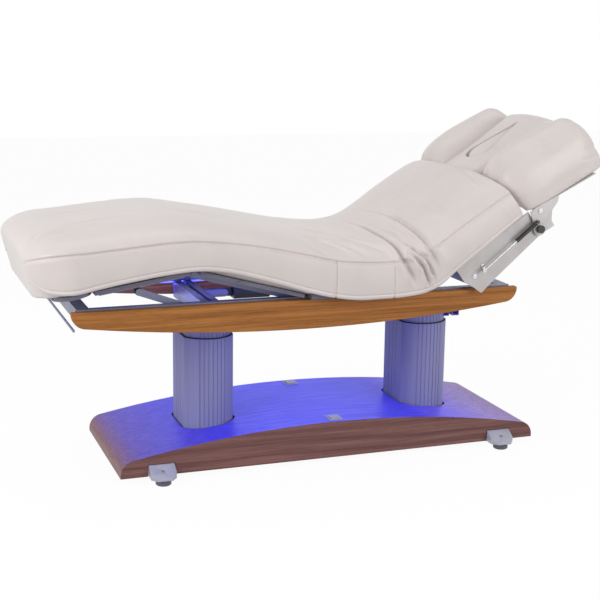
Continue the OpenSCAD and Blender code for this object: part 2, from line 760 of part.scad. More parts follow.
module hinge_pins() color(dark) both_sides() for (x = [-thigh_x, back_x])
    translate([base_x + x, 0, deck_z]) rod_y(hinge_r, section_out - section_tube - fit, frame_in);
module seat_board() color(wood) box_at(base_x - thigh_x + board_gap, base_x + back_x - board_gap - fork_t,
    -board_half, board_half, frame_top, frame_top + seat_board_t);
module seat_cushion() color(leather) translate([base_x, 0, deck_z])
    skin([place(dip_ring, seat_pad_head, 0), place(dip_ring, seat_pad_foot, 0)]);
module lap_fold() color(leather) translate([base_x, 0, deck_z]) skin(bend(top_h - seat_dip, 4,
    seat_pad_foot - fit, 0, -thigh_x, 0, -thigh_x - lap_cut * cos(thigh_angle),
    lap_cut * sin(thigh_angle), 0, thigh_angle));
module hip_fold() color(leather) translate([base_x, 0, deck_z]) skin(bend(top_h - seat_dip, 6,
    back_x + hip_cut * cos(back_angle), hip_cut * sin(back_angle), back_x, 0,
    seat_pad_head + fit, 0, -back_angle, 0));
module control_box() color(dark) translate([base_x + (seat_bar_foot_x + seat_bar_head_x) / 2, 0, 0])
    difference() {
        box_at(-control_len / 2, control_len / 2, -control_w / 2, control_w / 2,
            frame_top - seat_bar_h - control_h, frame_top - seat_bar_h);
        box_at(-control_len / 2 - cut, inlet_depth - control_len / 2, -inlet_w / 2, inlet_w / 2,
            frame_top - seat_bar_h - control_h / 2 - inlet_h / 2,
            frame_top - seat_bar_h - control_h / 2 + inlet_h / 2);
    }
module led_bars() color("mediumblue") both_sides() box_at(base_x + frame_foot + led_margin,
    base_x + frame_head - led_margin, frame_w / 2 - led_w - fit, frame_w / 2 - fit,
    frame_low - led_h, frame_low);
module paper_roll_bar() color(dark) translate([base_x + frame_foot, 0, frame_low]) {
    translate([-bar_out, 0, bar_r - bar_drop + side_tube_h]) rod_y(bar_r, -bar_reach / 2, frame_in);
    translate([-bar_out, 0, bar_r - bar_drop + side_tube_h]) rod_y(bar_socket_r, frame_in - bar_socket_len, frame_in);
    translate([0, frame_in - end_tube_w / 2, bar_r - bar_drop + side_tube_h]) rod_x(bar_r, -bar_out, end_tube_w / 2);
    translate([end_tube_w / 2, frame_in - end_tube_w / 2, bar_r - bar_drop + side_tube_h])
        cylinder(r = bar_r, h = bar_drop - side_tube_h - bar_r);
}

// Actuators: a tube with a motor on its side, and a rod with a forked end
module actuator_body(x0, x1, y) {
    dir = x1 > x0 ? 1 : -1;
    lo = min(x0, x1);
    hi = max(x0, x1);
    translate([base_x, y, actuator_z]) difference() {
        union() {
            rod_x(actuator_r, lo, hi);
            translate([x0 + dir * motor_len / 2, 0, 0])
                box_at(-motor_len / 2, motor_len / 2, -motor_w / 2, motor_w / 2, -actuator_r, motor_h - actuator_r);
            box_at(min(x0, x0 - dir * tail_len), max(x0, x0 - dir * tail_len),
                -clevis_t / 2, clevis_t / 2, -fork_r, fork_r);
        }
        rod_x(actuator_rod_r + slip, min(x0 + dir * motor_len, x1 + dir * cut), max(x0 + dir * motor_len, x1 + dir * cut));
        translate([x0 - dir * tail_len, 0, 0]) rod_y(drive_pin_r + slip, -clevis_t, clevis_t);
    }
}
module actuator_rod(x0, x1, y) {
    dir = x1 > x0 ? 1 : -1;
    neck = x1 - dir * fork_reach;
    translate([base_x, y, actuator_z]) {
        rod_x(actuator_rod_r, min(x0, neck), max(x0, neck));
        difference() {
            for (cheek = [-1, 1]) translate([0, cheek * (fork_gap / 2 + fork_t / 2), 0]) union() {
                box_at(min(neck - dir * fork_t, x1), max(neck - dir * fork_t, x1), -fork_t / 2, fork_t / 2,
                    -fork_r, fork_r);
                translate([x1, 0, 0]) rod_y(fork_r, -fork_t / 2, fork_t / 2);
            }
        }
        box_at(min(neck - dir * fork_t, neck), max(neck - dir * fork_t, neck),
            -fork_gap / 2 - fork_t, fork_gap / 2 + fork_t, -fork_r, fork_r);
        translate([x1, 0, 0]) rod_y(drive_pin_r, -fork_gap / 2 - fork_t, fork_gap / 2 + fork_t);
    }
}
back_pin_x = back_x + lever_reach * tan(back_angle - back_swing);
leg_pin_x = -thigh_x - lever_reach * tan(thigh_angle - thigh_swing);
module back_actuator() color(dark) actuator_body(back_tube_start, back_tube_end, lever_y);
module back_actuator_rod() color(steel) actuator_rod(back_tube_start + motor_len + rod_tail, back_pin_x, lever_y);
module leg_actuator() color(dark) actuator_body(leg_tube_start, leg_tube_end, -lever_y);
module leg_actuator_rod() color(steel) actuator_rod(leg_tube_start - motor_len - rod_tail, leg_pin_x, -lever_y);

// Lever under a section, its slot along the lever
module drive_lever(turn, y) translate([0, y, 0]) rotate([0, turn, 0]) difference() {
    hull() {
        rod_y(lever_hub_r, -lever_t / 2, lever_t / 2);
        translate([0, 0, -lever_reach - slot_run * 2]) rod_y(lever_r, -lever_t / 2, lever_t / 2);
    }
    hull() for (z = [-lever_reach + slot_play, -lever_reach / cos(back_swing) - slot_play])
        translate([0, 0, z]) rod_y(drive_pin_r + slot_play, -lever_t, lever_t);
}

// Welded section frames: four long bars, two cross bars, hinge eyes
module section_frame(len, eye_near, eye_far, y_near, y_far) difference() {
    union() {
        both_sides() box_at(frame_gap, len - frame_gap, section_out - section_tube, section_out,
            -section_tube, 0);
        both_sides() box_at(frame_gap, len - frame_gap, section_rib_y - section_tube / 2,
            section_rib_y + section_tube / 2, -section_tube, 0);
        for (x = [frame_gap, len - frame_gap - section_tube])
            box_at(x, x + section_tube, -section_out, section_out, -section_tube, 0);
        if (eye_near) both_sides() {
            rod_y(eye_r, y_near, y_near + eye_w);
            box_at(0, frame_gap + cut, y_near, y_near + eye_w, -eye_r, 0);
        }
        if (eye_far) both_sides() translate([len, 0, 0]) {
            rod_y(eye_r, y_far, y_far + eye_w);
            box_at(-frame_gap - cut, 0, y_far, y_far + eye_w, -eye_r, 0);
        }
    }
    if (eye_near) both_sides() rod_y(hinge_r + slip, y_near - cut, y_near + eye_w + cut);
    if (eye_far) both_sides() translate([len, 0, 0])
        rod_y(hinge_r + slip, y_far - cut, y_far + eye_w + cut);
}
module board(x0, x1, round_end) linear_extrude(board_t) difference() {
    translate([x0, -board_half]) square([x1 - x0, 2 * board_half]);
    if (round_end) for (side = [-1, 1]) difference() {
        translate([x1 - board_corner, side * (board_half - board_corner / 2 + cut / 2)])
            square([2 * board_corner + cut, board_corner + cut], center = true);
        translate([x1 - board_corner, side * (board_half - board_corner)]) circle(r = board_corner);
    }
}

// Thigh and calf sections, drawn from their hinges toward the foot end
module thigh_frame() color(steel) at_thigh() {
    mirror([1, 0, 0]) section_frame(thigh_len, true, false, section_out - section_tube, section_out);
    mirror([1, 0, 0]) knee_eyes();
    drive_lever(-thigh_swing, -lever_y);
    box_at(-frame_gap - cut, 0, -lever_y - lever_t / 2, -lever_y + lever_t / 2, -section_tube, 0);
}
module knee_eyes() both_sides() translate([thigh_len, 0, 0]) {
    difference() {
        union() {
            rod_y(eye_r, section_out - section_tube, section_out - section_tube + eye_w);
            box_at(-frame_gap - cut, 0, section_out - section_tube, section_out - section_tube + eye_w, -eye_r, 0);
        }
        rod_y(hinge_r - slip, section_out - section_tube - cut, section_out - section_tube + eye_w + cut);
    }
    rod_y(hinge_r, section_out - section_tube, section_out);
}
module thigh_board() color(wood) at_thigh() mirror([1, 0, 0])
    board(board_gap, thigh_len - board_gap, false);
module thigh_cushion() color(leather) at_thigh()
    skin([place(dip_ring, -lap_cut - fit, 0), place(knee_ring, knee_cut - thigh_len, 0)]);
module knee_fold() color(leather) at_thigh() translate([-thigh_len, 0, 0]) skin(bend(top_h - 3 * seat_dip, 6,
    knee_cut - fit, 0, 0, 0, -(knee_cut - fit) * cos(thigh_angle + calf_angle),
    -(knee_cut - fit) * sin(thigh_angle + calf_angle), 0, -thigh_angle - calf_angle));
module calf_frame() color(steel) at_calf() mirror([1, 0, 0])
    section_frame(calf_frame_len, true, false, section_out - eye_w, section_out);
module calf_board() color(wood) at_calf() mirror([1, 0, 0]) board(board_gap, calf_len, true);
module calf_cushion() color(leather) at_calf() skin(calf_rings);
module calf_arm_side() translate([base_x + arm_x, 0, arm_z]) rotate([0, arm_angle, 0]) children();
module calf_arms() color(steel) calf_arm_side() both_sides() {
    difference() {
        hull() for (x = [0, -arm_len]) translate([x, 0, 0]) rod_y(arm_w / 2, arm_y - arm_t, arm_y);
        rod_y(hinge_r + slip, arm_y - arm_t - cut, arm_y + cut);
    }
    translate([-arm_len, 0, 0]) rod_y(hinge_r, arm_y - arm_t - roller_w, arm_y - arm_t);
}
module arm_rollers() color("black") calf_arm_side() both_sides() translate([-arm_len, 0, 0])
    difference() {
        rod_y(roller_r, arm_y - arm_t - roller_w, arm_y - arm_t - fit);
        rod_y(hinge_r + slip, arm_y - arm_t - roller_w - cut, arm_y);
    }

// Back section
module back_frame() color(steel) at_back() {
    section_frame(back_frame_len, true, false, section_out - section_tube, section_out);
    drive_lever(back_swing, lever_y);
    box_at(0, frame_gap + cut, lever_y - lever_t / 2, lever_y + lever_t / 2, -section_tube, 0);
}
module back_board() color(wood) at_back() board(board_gap, back_len - neck_len / 4, false);
module heating_mat() color("black") at_back() box_at(hip_cut + mat_margin, back_len - neck_len - mat_margin,
    -mat_half, mat_half, board_t, board_t + mat_t);
back_rings = [for (i = [0:back_steps]) let(s = hip_cut + fit + (back_len - neck_len - hip_cut - fit) * i / back_steps)
    place(back_ring(s), s, 0)];
function back_ring(s) = let(t = (s - hip_cut) / (back_len - hip_cut))
    ring(pad_half, board_t, top_h - seat_dip + back_swell * sin(180 * t)
        - (1 - swell(back_len - s, back_round_len, back_round_share)) * pad_h, pad_crown);
module back_cushion() color(leather) at_back() difference() {
    skin([for (i = [back_steps:-1:0]) back_rings[i]]);
    box_at(hip_cut + mat_margin - fit, back_len - neck_len - mat_margin + fit,
        -mat_half - fit, mat_half + fit, board_t - cut, board_t + mat_t + fit);
}
module neck_fold() color(leather) at_back() skin([for (i = [neck_steps:-1:0])
    let(s = back_len - neck_len + fit + (neck_len - fit) * sin(90 * i / neck_steps)) place(back_ring(s), s, 0)]);
module plate_outline() polygon([
    [plate_foot_s, plate_top_n], [plate_foot_s, -plate_front_h], [plate_foot_s + plate_bend_s, -plate_bend_h],
    [plate_foot_s + plate_toe_s, -plate_toe_h], [plate_foot_s + plate_heel_s, -plate_heel_h],
    [pivot_s, pivot_n - pivot_boss], [pivot_s, plate_top_n]]);
module side_plate() {
    difference() {
        union() {
            translate([0, plate_y + plate_t / 2, 0]) upright(plate_t) plate_outline();
            translate([pivot_s, 0, pivot_n]) rod_y(pivot_boss, plate_y, plate_y + plate_t);
            box_at(plate_foot_s, back_len - board_gap, plate_y - plate_flange, plate_y + cut,
                plate_top_n - plate_flange_t, plate_top_n);
        }
        translate([pivot_s, 0, pivot_n]) rod_y(pivot_r + slip, plate_y - cut, plate_y + plate_t + cut);
        translate([strut_s, 0, strut_n]) rod_y(strut_pin_r + slip, plate_y - cut, plate_y + plate_t + cut);
    }
}
module side_plates() color(steel) at_back() both_sides() side_plate();

// Head section
module ear_outline() polygon([
    [-ear_back_s, head_board_n - plate_flange_t], [-ear_neck_s, ear_neck_n], [-pivot_boss, 0],
    [-ear_chin_s, -ear_chin_n], [ear_nose_s, -ear_nose_n], [ear_brow_s, ear_brow_n],
    [ear_rise_s, ear_rise_n], [ear_far_s, ear_far_n], [ear_tip_s, head_board_n - plate_flange_t]]);
module head_brackets() color(steel) at_head() both_sides() difference() {
    union() {
        translate([0, ear_y + ear_t / 2, 0]) upright(ear_t) ear_outline();
        rod_y(pivot_boss, ear_y, ear_y + ear_t);
        box_at(head_board_foot, head_board_len - head_board_foot * 4, ear_y + ear_t - ear_flange, ear_y + ear_t,
            head_board_n - plate_flange_t, head_board_n);
    }
    rod_y(pivot_r + slip, ear_y - cut, ear_y + ear_t + cut);
    turn_head() translate([crank_side, 0, crank_up]) rod_y(strut_pin_r + slip, ear_y - cut, ear_y + ear_t + cut);
}
module turn_head() rotate([0, -head_drop, 0]) children();
module plug_plan(t) {
    r = plug_r - t;
    reach = (plug_tip_s - plug_s) * r / plug_r;
    tilt = acos(r / reach);
    polygon(concat([[plug_s + reach, 0]], [for (i = [0:plug_steps])
        let(a = tilt + (360 - 2 * tilt) * i / plug_steps) [plug_s + r * cos(a), r * sin(a)]]));
}
module head_board() color(wood) at_head() difference() {
    translate([0, 0, head_board_n]) linear_extrude(board_t) difference() {
        translate([head_board_foot, -head_board_half]) square([head_board_len - head_board_foot, 2 * head_board_half]);
        plug_plan(0);
    }
}
module head_pad() color(leather) at_head() difference() {
    rings = head_pad_rings(0);
    skin([for (i = [head_pad_steps:-1:0]) rings[i]]);
    translate([0, 0, head_board_n]) linear_extrude(bolster_h * 2) plug_plan(0);
}
module head_bolsters() color(leather) at_head() both_sides()
    skin([for (i = [bolster_steps:-1:0]) bolster_rings[i]]);
module face_plug() color(leather) at_head() intersection() {
    translate([0, 0, head_board_n]) linear_extrude(bolster_h * 2) plug_plan(plug_gap);
    translate([0, 0, cushion_n + head_pad_h_foot + head_pad_crown / 2]) rotate([0, -plug_rise, 0])
        box_at(-head_pad_len, 2 * head_pad_len, -head_half, head_half, -2 * bolster_h, 0);
}
module strut_rods() color(steel) at_back() both_sides() translate([strut_s, 0, strut_n])
    rotate([0, -strut_tilt, 0]) {
        rod_y(strut_eye_r, strut_y - strut_eye_t, strut_y + strut_eye_t);
        translate([0, strut_y, 0]) rod_x(strut_rod_r, strut_eye_r - cut, strut_len - strut_end_gap - strut_tube_len / 2);
        rod_y(strut_pin_r, plate_y, strut_y + strut_eye_t + cut);
    }
module strut_cylinders() color("black") at_back() both_sides() translate([strut_s, 0, strut_n])
    rotate([0, -strut_tilt, 0]) {
        difference() {
            translate([0, strut_y, 0]) rod_x(strut_tube_r, strut_len - strut_end_gap - strut_tube_len,
                strut_len - strut_end_gap);
            translate([0, strut_y, 0]) rod_x(strut_rod_r + slip, strut_len - strut_end_gap - strut_tube_len - cut,
                strut_len - strut_end_gap - cut * 4);
        }
        difference() {
            union() {
                box_at(strut_len - strut_end_gap - cut, strut_len, strut_y - strut_eye_t / 2,
                    strut_y + strut_eye_t / 2, -strut_eye_r, strut_eye_r);
                translate([strut_len, 0, 0]) rod_y(strut_eye_r, strut_y - strut_eye_t / 2, strut_y + strut_eye_t / 2);
            }
            translate([strut_len, 0, 0]) rod_y(strut_pin_r + crank_play, strut_y - strut_eye_t, strut_y + strut_eye_t);
        }
    }
module head_knobs() color("black") at_head() both_sides() {
    rod_y(pivot_r, plate_y - knob_h / 2, ear_y + ear_t);
    rod_y(knob_r, ear_y + ear_t, ear_y + ear_t + knob_h);
    rod_y(knob_r, plate_y - knob_h / 2, plate_y - fit);
    turn_head() translate([crank_side, 0, crank_up]) rod_y(strut_pin_r, ear_y, strut_y + strut_eye_t);
}

base_cover();
base_chassis();
foot_brackets();
column_outer_left();
column_outer_right();
column_gaskets();
column_wipers();
lift_tubes();
switch_bezels();
foot_front_left();
foot_front_right();
foot_rear_left();
foot_rear_right();
rocker_front();
rocker_rear();
column_inner_left();
column_inner_right();
column_heads();
lift_motors();
side_tubes();
end_tubes();
cross_tubes();
wood_rail_front();
wood_rail_rear();
frame_brackets();
hinge_pins();
seat_board();
seat_cushion();
lap_fold();
hip_fold();
control_box();
led_bars();
paper_roll_bar();
back_actuator();
back_actuator_rod();
leg_actuator();
leg_actuator_rod();
calf_arms();
arm_rollers();
thigh_frame();
thigh_board();
thigh_cushion();
knee_fold();
calf_frame();
calf_board();
calf_cushion();
back_frame();
back_board();
heating_mat();
back_cushion();
neck_fold();
side_plates();
head_brackets();
head_board();
head_pad();
head_bolsters();
face_plug();
strut_rods();
strut_cylinders();
head_knobs();
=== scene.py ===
import bpy, bmesh, math, json
import numpy as np
from mathutils import Vector, Matrix, noise

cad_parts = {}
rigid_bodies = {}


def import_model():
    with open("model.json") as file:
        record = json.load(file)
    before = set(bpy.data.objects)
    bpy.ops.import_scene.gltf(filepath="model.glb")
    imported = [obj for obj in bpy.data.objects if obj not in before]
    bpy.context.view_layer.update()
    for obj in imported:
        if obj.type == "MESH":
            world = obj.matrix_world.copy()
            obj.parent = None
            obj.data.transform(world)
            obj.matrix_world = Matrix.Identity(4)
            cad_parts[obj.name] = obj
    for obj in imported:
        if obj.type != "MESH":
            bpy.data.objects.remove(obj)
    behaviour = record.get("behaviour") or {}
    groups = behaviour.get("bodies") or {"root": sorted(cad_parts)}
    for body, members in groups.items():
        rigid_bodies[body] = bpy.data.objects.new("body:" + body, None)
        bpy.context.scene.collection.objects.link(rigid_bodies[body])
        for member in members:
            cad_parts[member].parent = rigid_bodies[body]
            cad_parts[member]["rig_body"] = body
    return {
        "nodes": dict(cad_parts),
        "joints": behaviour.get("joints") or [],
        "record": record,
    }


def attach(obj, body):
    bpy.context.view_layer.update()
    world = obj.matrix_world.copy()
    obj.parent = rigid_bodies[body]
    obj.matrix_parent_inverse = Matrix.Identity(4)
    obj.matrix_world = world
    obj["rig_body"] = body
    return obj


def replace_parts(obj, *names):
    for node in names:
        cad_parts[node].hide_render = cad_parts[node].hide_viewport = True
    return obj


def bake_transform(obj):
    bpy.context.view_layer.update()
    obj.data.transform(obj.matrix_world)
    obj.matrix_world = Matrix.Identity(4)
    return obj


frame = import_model()
scene = bpy.context.scene
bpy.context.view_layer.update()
nodes = frame["nodes"]
joints = {j["name"]: j for j in frame["joints"]}
thighAxis, backAxis, kneeAxis, headAxis = (
    Vector(joints[n]["pos_m"]) for n in ("thigh_tilt", "back_tilt", "calf_tilt", "head_tilt"))
baseX = thighAxis.x + 0.142   # middle of the base along the table
tilts = {"calf": 9.0, "thigh": -15.0, "seat": 0.0, "back": 36.0, "head": 26.5}   # how far +X tips up, in degrees
print("frame loaded:", len(nodes), "nodes")


# shader node helpers
def feed(tree, sockets, values):   # links what is a socket and writes what is a value
    for socket, value in zip(sockets, values):
        if isinstance(value, bpy.types.NodeSocket):
            tree.links.new(value, socket)
        else:
            socket.default_value = value


def addNode(tree, kind, **settings):   # a node with its own settings and inputs
    node = tree.nodes.new(kind)
    for key, value in settings.items():
        if key in node.bl_rna.properties.keys():
            setattr(node, key, value)
        else:
            feed(tree, [node.inputs[key.replace("_", " ")]], [value])
    return node


def mixColour(tree, factor, a, b, mode="MIX"):
    node = tree.nodes.new("ShaderNodeMix")
    node.data_type, node.blend_type, node.clamp_factor = "RGBA", mode, True
    feed(tree, (node.inputs[0], node.inputs[6], node.inputs[7]), (factor, a, b))
    return node.outputs[2]


def math2(tree, operation, a, b, clamp=False):
    node = tree.nodes.new("ShaderNodeMath")
    node.operation, node.use_clamp = operation, clamp
    feed(tree, node.inputs, (a, b))
    return node.outputs[0]


def weighted(tree, a, shareA, b, shareB, clamp=False):   # the sum of two values, each by its share
    partA, partB = math2(tree, "MULTIPLY", a, shareA), math2(tree, "MULTIPLY", b, shareB)
    return math2(tree, "ADD", partA, partB, clamp)


def spread(tree, value, low, high, toLow=0.0, toHigh=1.0, smooth=False):
    node = tree.nodes.new("ShaderNodeMapRange")
    node.interpolation_type = "SMOOTHSTEP" if smooth else "LINEAR"
    feed(tree, node.inputs, (value, low, high, toLow, toHigh))
    return node.outputs[0]


def noiseAt(tree, vector, scale, detail=3.0, rough=0.55):
    return addNode(tree, "ShaderNodeTexNoise", Vector=vector, Scale=scale, Detail=detail, Roughness=rough).outputs[0]


def stretched(tree, vector, scale):
    return addNode(tree, "ShaderNodeMapping", Vector=vector, Scale=scale).outputs[0]


def seenRays(tree):   # 1 for rays that show the background: camera, glossy and transmission
    path = tree.nodes.new("ShaderNodeLightPath").outputs
    direct = math2(tree, "MAXIMUM", path["Is Camera Ray"], path["Is Transmission Ray"])
    return math2(tree, "MAXIMUM", direct, path["Is Glossy Ray"])


def startGroup(name, inputs, outputs):   # Vector is always the first input
    tree = bpy.data.node_groups.new(name, "ShaderNodeTree")
    tree.interface.new_socket(name="Vector", in_out="INPUT", socket_type="NodeSocketVector")
    for label, value in inputs.items():
        kind = "NodeSocketColor" if isinstance(value, tuple) else "NodeSocketFloat"
        tree.interface.new_socket(name=label, in_out="INPUT", socket_type=kind).default_value = value
    for label in outputs:
        kind = "NodeSocketColor" if label == "Color" else "NodeSocketFloat"
        tree.interface.new_socket(name=label, in_out="OUTPUT", socket_type=kind)
    return tree, tree.nodes.new("NodeGroupInput").outputs, tree.nodes.new("NodeGroupOutput").inputs


hideLook = {"pebbles": 620.0, "broad": 9.0, "fine": 260.0}
woodLook = {"sway": (1.3, 4.0, 6.0), "bands": (0.10, 1.0, 1.0), "fibres": (3.0, 150.0, 210.0),
            "pores": (22.0, 420.0, 640.0), "poreColour": (0.03, 0.012, 0.008, 1), "poreDepth": 0.45}
coatLook = {"peel": 900.0, "tone": 14.0, "smudge": 38.0}
drawnLook = {"fine": (900.0, 900.0, 4.0), "wide": (110.0, 110.0, 1.5)}


def makeHideGroup():   # soft pebbled hide: fine cells and slow shade changes
    tree, source, sink = startGroup("softHide", {"Pebble Scale": hideLook["pebbles"]}, ("Height", "Tone"))
    cells = addNode(tree, "ShaderNodeTexVoronoi", feature="SMOOTH_F1", Smoothness=0.6,
                    Vector=source["Vector"], Scale=source["Pebble Scale"])
    broad = noiseAt(tree, source["Vector"], hideLook["broad"], detail=2.0)
    fine = noiseAt(tree, source["Vector"], hideLook["fine"])
    tree.links.new(weighted(tree, cells.outputs["Distance"], 0.7, fine, 0.5), sink["Height"])
    tree.links.new(weighted(tree, broad, 0.7, fine, 0.3), sink["Tone"])
    return tree


def makeWoodGroup():   # straight-grained veneer: growth bands, long fibres and short dark pores along X
    inputs = {"Pale": (0.4, 0.2, 0.1, 1), "Deep": (0.2, 0.08, 0.04, 1), "Figure": 1.0}
    tree, source, sink = startGroup("woodGrain", inputs, ("Color", "Height", "Shine"))
    sways, fibrous, porous, banded = (
        stretched(tree, source["Vector"], woodLook[key]) for key in ("sway", "fibres", "pores", "bands"))
    sway = noiseAt(tree, sways, 1.0, detail=2.0)
    bands = addNode(tree, "ShaderNodeTexWave", wave_type="BANDS", bands_direction="Z", Vector=banded,
                    Scale=9.0, Distortion=7.0, Detail=3.0, Detail_Scale=1.2)
    fibres = spread(tree, noiseAt(tree, fibrous, 1.0, detail=4.0, rough=0.6), 0.30, 0.70)
    pores = spread(tree, noiseAt(tree, porous, 1.0, detail=2.0, rough=0.5), 0.60, 0.70)
    figure = math2(tree, "MULTIPLY", weighted(tree, bands.outputs[1], 0.55, sway, 0.6), source["Figure"])
    tone = weighted(tree, figure, 0.55, fibres, 0.55, clamp=True)
    wood = mixColour(tree, spread(tree, tone, 0.25, 0.85), source["Pale"], source["Deep"])
    poreShare = math2(tree, "MULTIPLY", pores, woodLook["poreDepth"])
    tree.links.new(mixColour(tree, poreShare, wood, woodLook["poreColour"]), sink["Color"])
    tree.links.new(weighted(tree, fibres, 0.5, pores, -0.8), sink["Height"])
    tree.links.new(weighted(tree, fibres, 0.25, pores, 0.2), sink["Shine"])
    return tree


def makeCoatGroup():   # powder coat and moulded plastic: orange peel, faint handling marks
    tree, source, sink = startGroup("coatPeel", {"Peel Scale": coatLook["peel"]}, ("Height", "Tone", "Smudge"))
    tree.links.new(noiseAt(tree, source["Vector"], source["Peel Scale"], detail=2.0, rough=0.5), sink["Height"])
    tree.links.new(noiseAt(tree, source["Vector"], coatLook["tone"]), sink["Tone"])
    marks = noiseAt(tree, source["Vector"], coatLook["smudge"], detail=4.0, rough=0.7)
    tree.links.new(spread(tree, marks, 0.45, 0.75), sink["Smudge"])
    return tree


def makeBrushGroup():   # drawn and brushed metal: fine lines along Z
    tree, source, sink = startGroup("drawnLines", {}, ("Height", "Tone"))
    fine, wide = (noiseAt(tree, stretched(tree, source["Vector"], drawnLook[key]), 1.0, detail)
                  for key, detail in (("fine", 3.0), ("wide", 2.0)))
    tree.links.new(fine, sink["Height"])
    tree.links.new(weighted(tree, fine, 0.5, wide, 0.5), sink["Tone"])
    return tree


softHide, woodGrain, coatPeel, drawnLines = makeHideGroup(), makeWoodGroup(), makeCoatGroup(), makeBrushGroup()


# materials
def startMaterial(name):
    material = bpy.data.materials.new(name)
    material.use_nodes = True
    tree = material.node_tree
    place = tree.nodes.new("ShaderNodeTexCoord").outputs["Object"]
    return material, tree, tree.nodes["Principled BSDF"].inputs, place


def setAll(sockets, **values):
    for key, value in values.items():
        sockets[key.replace("_", " ")].default_value = value


def useGroup(tree, group, vector, **values):
    return addNode(tree, "ShaderNodeGroup", node_tree=group, Vector=vector, **values).outputs


def bumped(tree, sockets, height, strength, distance):
    bump = addNode(tree, "ShaderNodeBump", Strength=strength, Distance=distance, Height=height)
    tree.links.new(bump.outputs[0], sockets["Normal"])


def shade(colour, amount):
    return tuple(min(c * amount, 1.0) for c in colour[:3]) + (1.0,)


def toned(tree, sockets, tone, reach, colour, shades):   # base colour that drifts between two shades of one colour
    mixed = mixColour(tree, spread(tree, tone, *reach), shade(colour, shades[0]), shade(colour, shades[1]))
    tree.links.new(mixed, sockets["Base Color"])


def glossy(tree, sockets, tone, reach, gloss):
    tree.links.new(spread(tree, tone, *reach, *gloss), sockets["Roughness"])


def leatherette(name, look):
    material, tree, sockets, place = startMaterial(name)
    hide = useGroup(tree, softHide, place)
    toned(tree, sockets, hide["Tone"], (0.3, 0.7), look["colour"], (0.955, 1.03))
    glossy(tree, sockets, hide["Tone"], (0.2, 0.8), look["gloss"])
    setAll(sockets, Sheen_Weight=0.06, Sheen_Roughness=0.45, Specular_IOR_Level=0.34)
    bumped(tree, sockets, hide["Height"], 0.22, 0.0006)
    return material


def veneer(name, look):
    material, tree, sockets, place = startMaterial(name)
    grain = useGroup(tree, woodGrain, place, Pale=look["pale"], Deep=look["deep"], Figure=look["figure"])
    tree.links.new(grain["Color"], sockets["Base Color"])
    glossy(tree, sockets, grain["Shine"], (0.0, 0.4), look["gloss"])
    setAll(sockets, Specular_IOR_Level=0.14, Coat_Weight=look["coat"], Coat_Roughness=0.25)
    bumped(tree, sockets, grain["Height"], 0.25, 0.0004)
    return material


def coated(name, look):
    material, tree, sockets, place = startMaterial(name)
    peel = useGroup(tree, coatPeel, place, Peel_Scale=look.get("peel", coatLook["peel"]))
    toned(tree, sockets, peel["Tone"], (0.35, 0.65), look["colour"], (0.93, 1.05))
    glossy(tree, sockets, peel["Smudge"], (0.0, 1.0), (look["gloss"], look["gloss"] + 0.12))
    setAll(sockets, Metallic=look.get("metal", 0.0))
    bumped(tree, sockets, peel["Height"], look.get("bump", 0.12), 0.0003)
    return material


def drawnMetal(name, look):
    material, tree, sockets, place = startMaterial(name)
    lines = useGroup(tree, drawnLines, place)
    toned(tree, sockets, lines["Tone"], (0.3, 0.7), look["colour"], (0.86, 1.08))
    glossy(tree, sockets, lines["Tone"], (0.2, 0.8), (look["gloss"] - 0.08, look["gloss"] + 0.1))
    setAll(sockets, Metallic=look["metal"])
    bumped(tree, sockets, lines["Height"], 0.12, 0.0002)
    return material


def baseVeneerPaintedLedLight(name, look):   # dark veneer whose upper face carries painted blue light from the light bars, painted shade near the columns and a painted glow
    material, tree, sockets, place = startMaterial(name)
    grain = useGroup(tree, woodGrain, place, Pale=look["pale"], Deep=look["deep"], Figure=look["figure"])
    axes, facing = tree.nodes.new("ShaderNodeSeparateXYZ"), tree.nodes.new("ShaderNodeSeparateXYZ")
    tree.links.new(place, axes.inputs[0])
    tree.links.new(tree.nodes["Texture Coordinate"].outputs["Normal"], facing.inputs[0])
    up = spread(tree, facing.outputs[2], *look["upward"], smooth=True)
    ramp = tree.nodes.new("ShaderNodeValToRGB")
    stops = ramp.color_ramp.elements
    stops[0].position, stops[-1].position = look["paintedLedWash"][0][0], look["paintedLedWash"][-1][0]
    stops[0].color, stops[-1].color = look["paintedLedWash"][0][1] + (1,), look["paintedLedWash"][-1][1] + (1,)
    for spot, colour in look["paintedLedWash"][1:-1]:
        stops.new(spot).color = colour + (1,)
    tree.links.new(spread(tree, axes.outputs[0], baseX - look["half"], baseX + look["half"]), ramp.inputs[0])
    streaks = mixColour(tree, spread(tree, grain["Shine"], 0.07, 0.20), look["paleStreak"], look["deepStreak"])
    paintedLitFace = mixColour(tree, 1.0, ramp.outputs[0], streaks, "MULTIPLY")
    # the painted light lies only on faces turned upward, and glow makes them emit it: a painted glow, since the face
    # is no lamp
    cover, glow = (math2(tree, "MULTIPLY", up, look[key]) for key in ("cover", "glow"))
    tree.links.new(mixColour(tree, cover, grain["Color"], paintedLitFace), sockets["Base Color"])
    tree.links.new(mixColour(tree, glow, (0, 0, 0, 1), paintedLitFace), sockets["Emission Color"])
    setAll(sockets, Emission_Strength=1.0, Roughness=0.42, Specular_IOR_Level=0.25,
           Coat_Weight=0.04, Coat_Roughness=0.3)
    bumped(tree, sockets, grain["Height"], 0.25, 0.0004)
    return material


def lightBar(name, look):
    material, tree, sockets, place = startMaterial(name)
    peel = useGroup(tree, coatPeel, place)
    for key, socket in (("colour", "Base Color"), ("glow", "Emission Color")):
        tree.links.new(mixColour(tree, peel["Tone"], shade(look[key], 0.9), look[key]), sockets[socket])
    setAll(sockets, Emission_Strength=look["strength"])
    return material


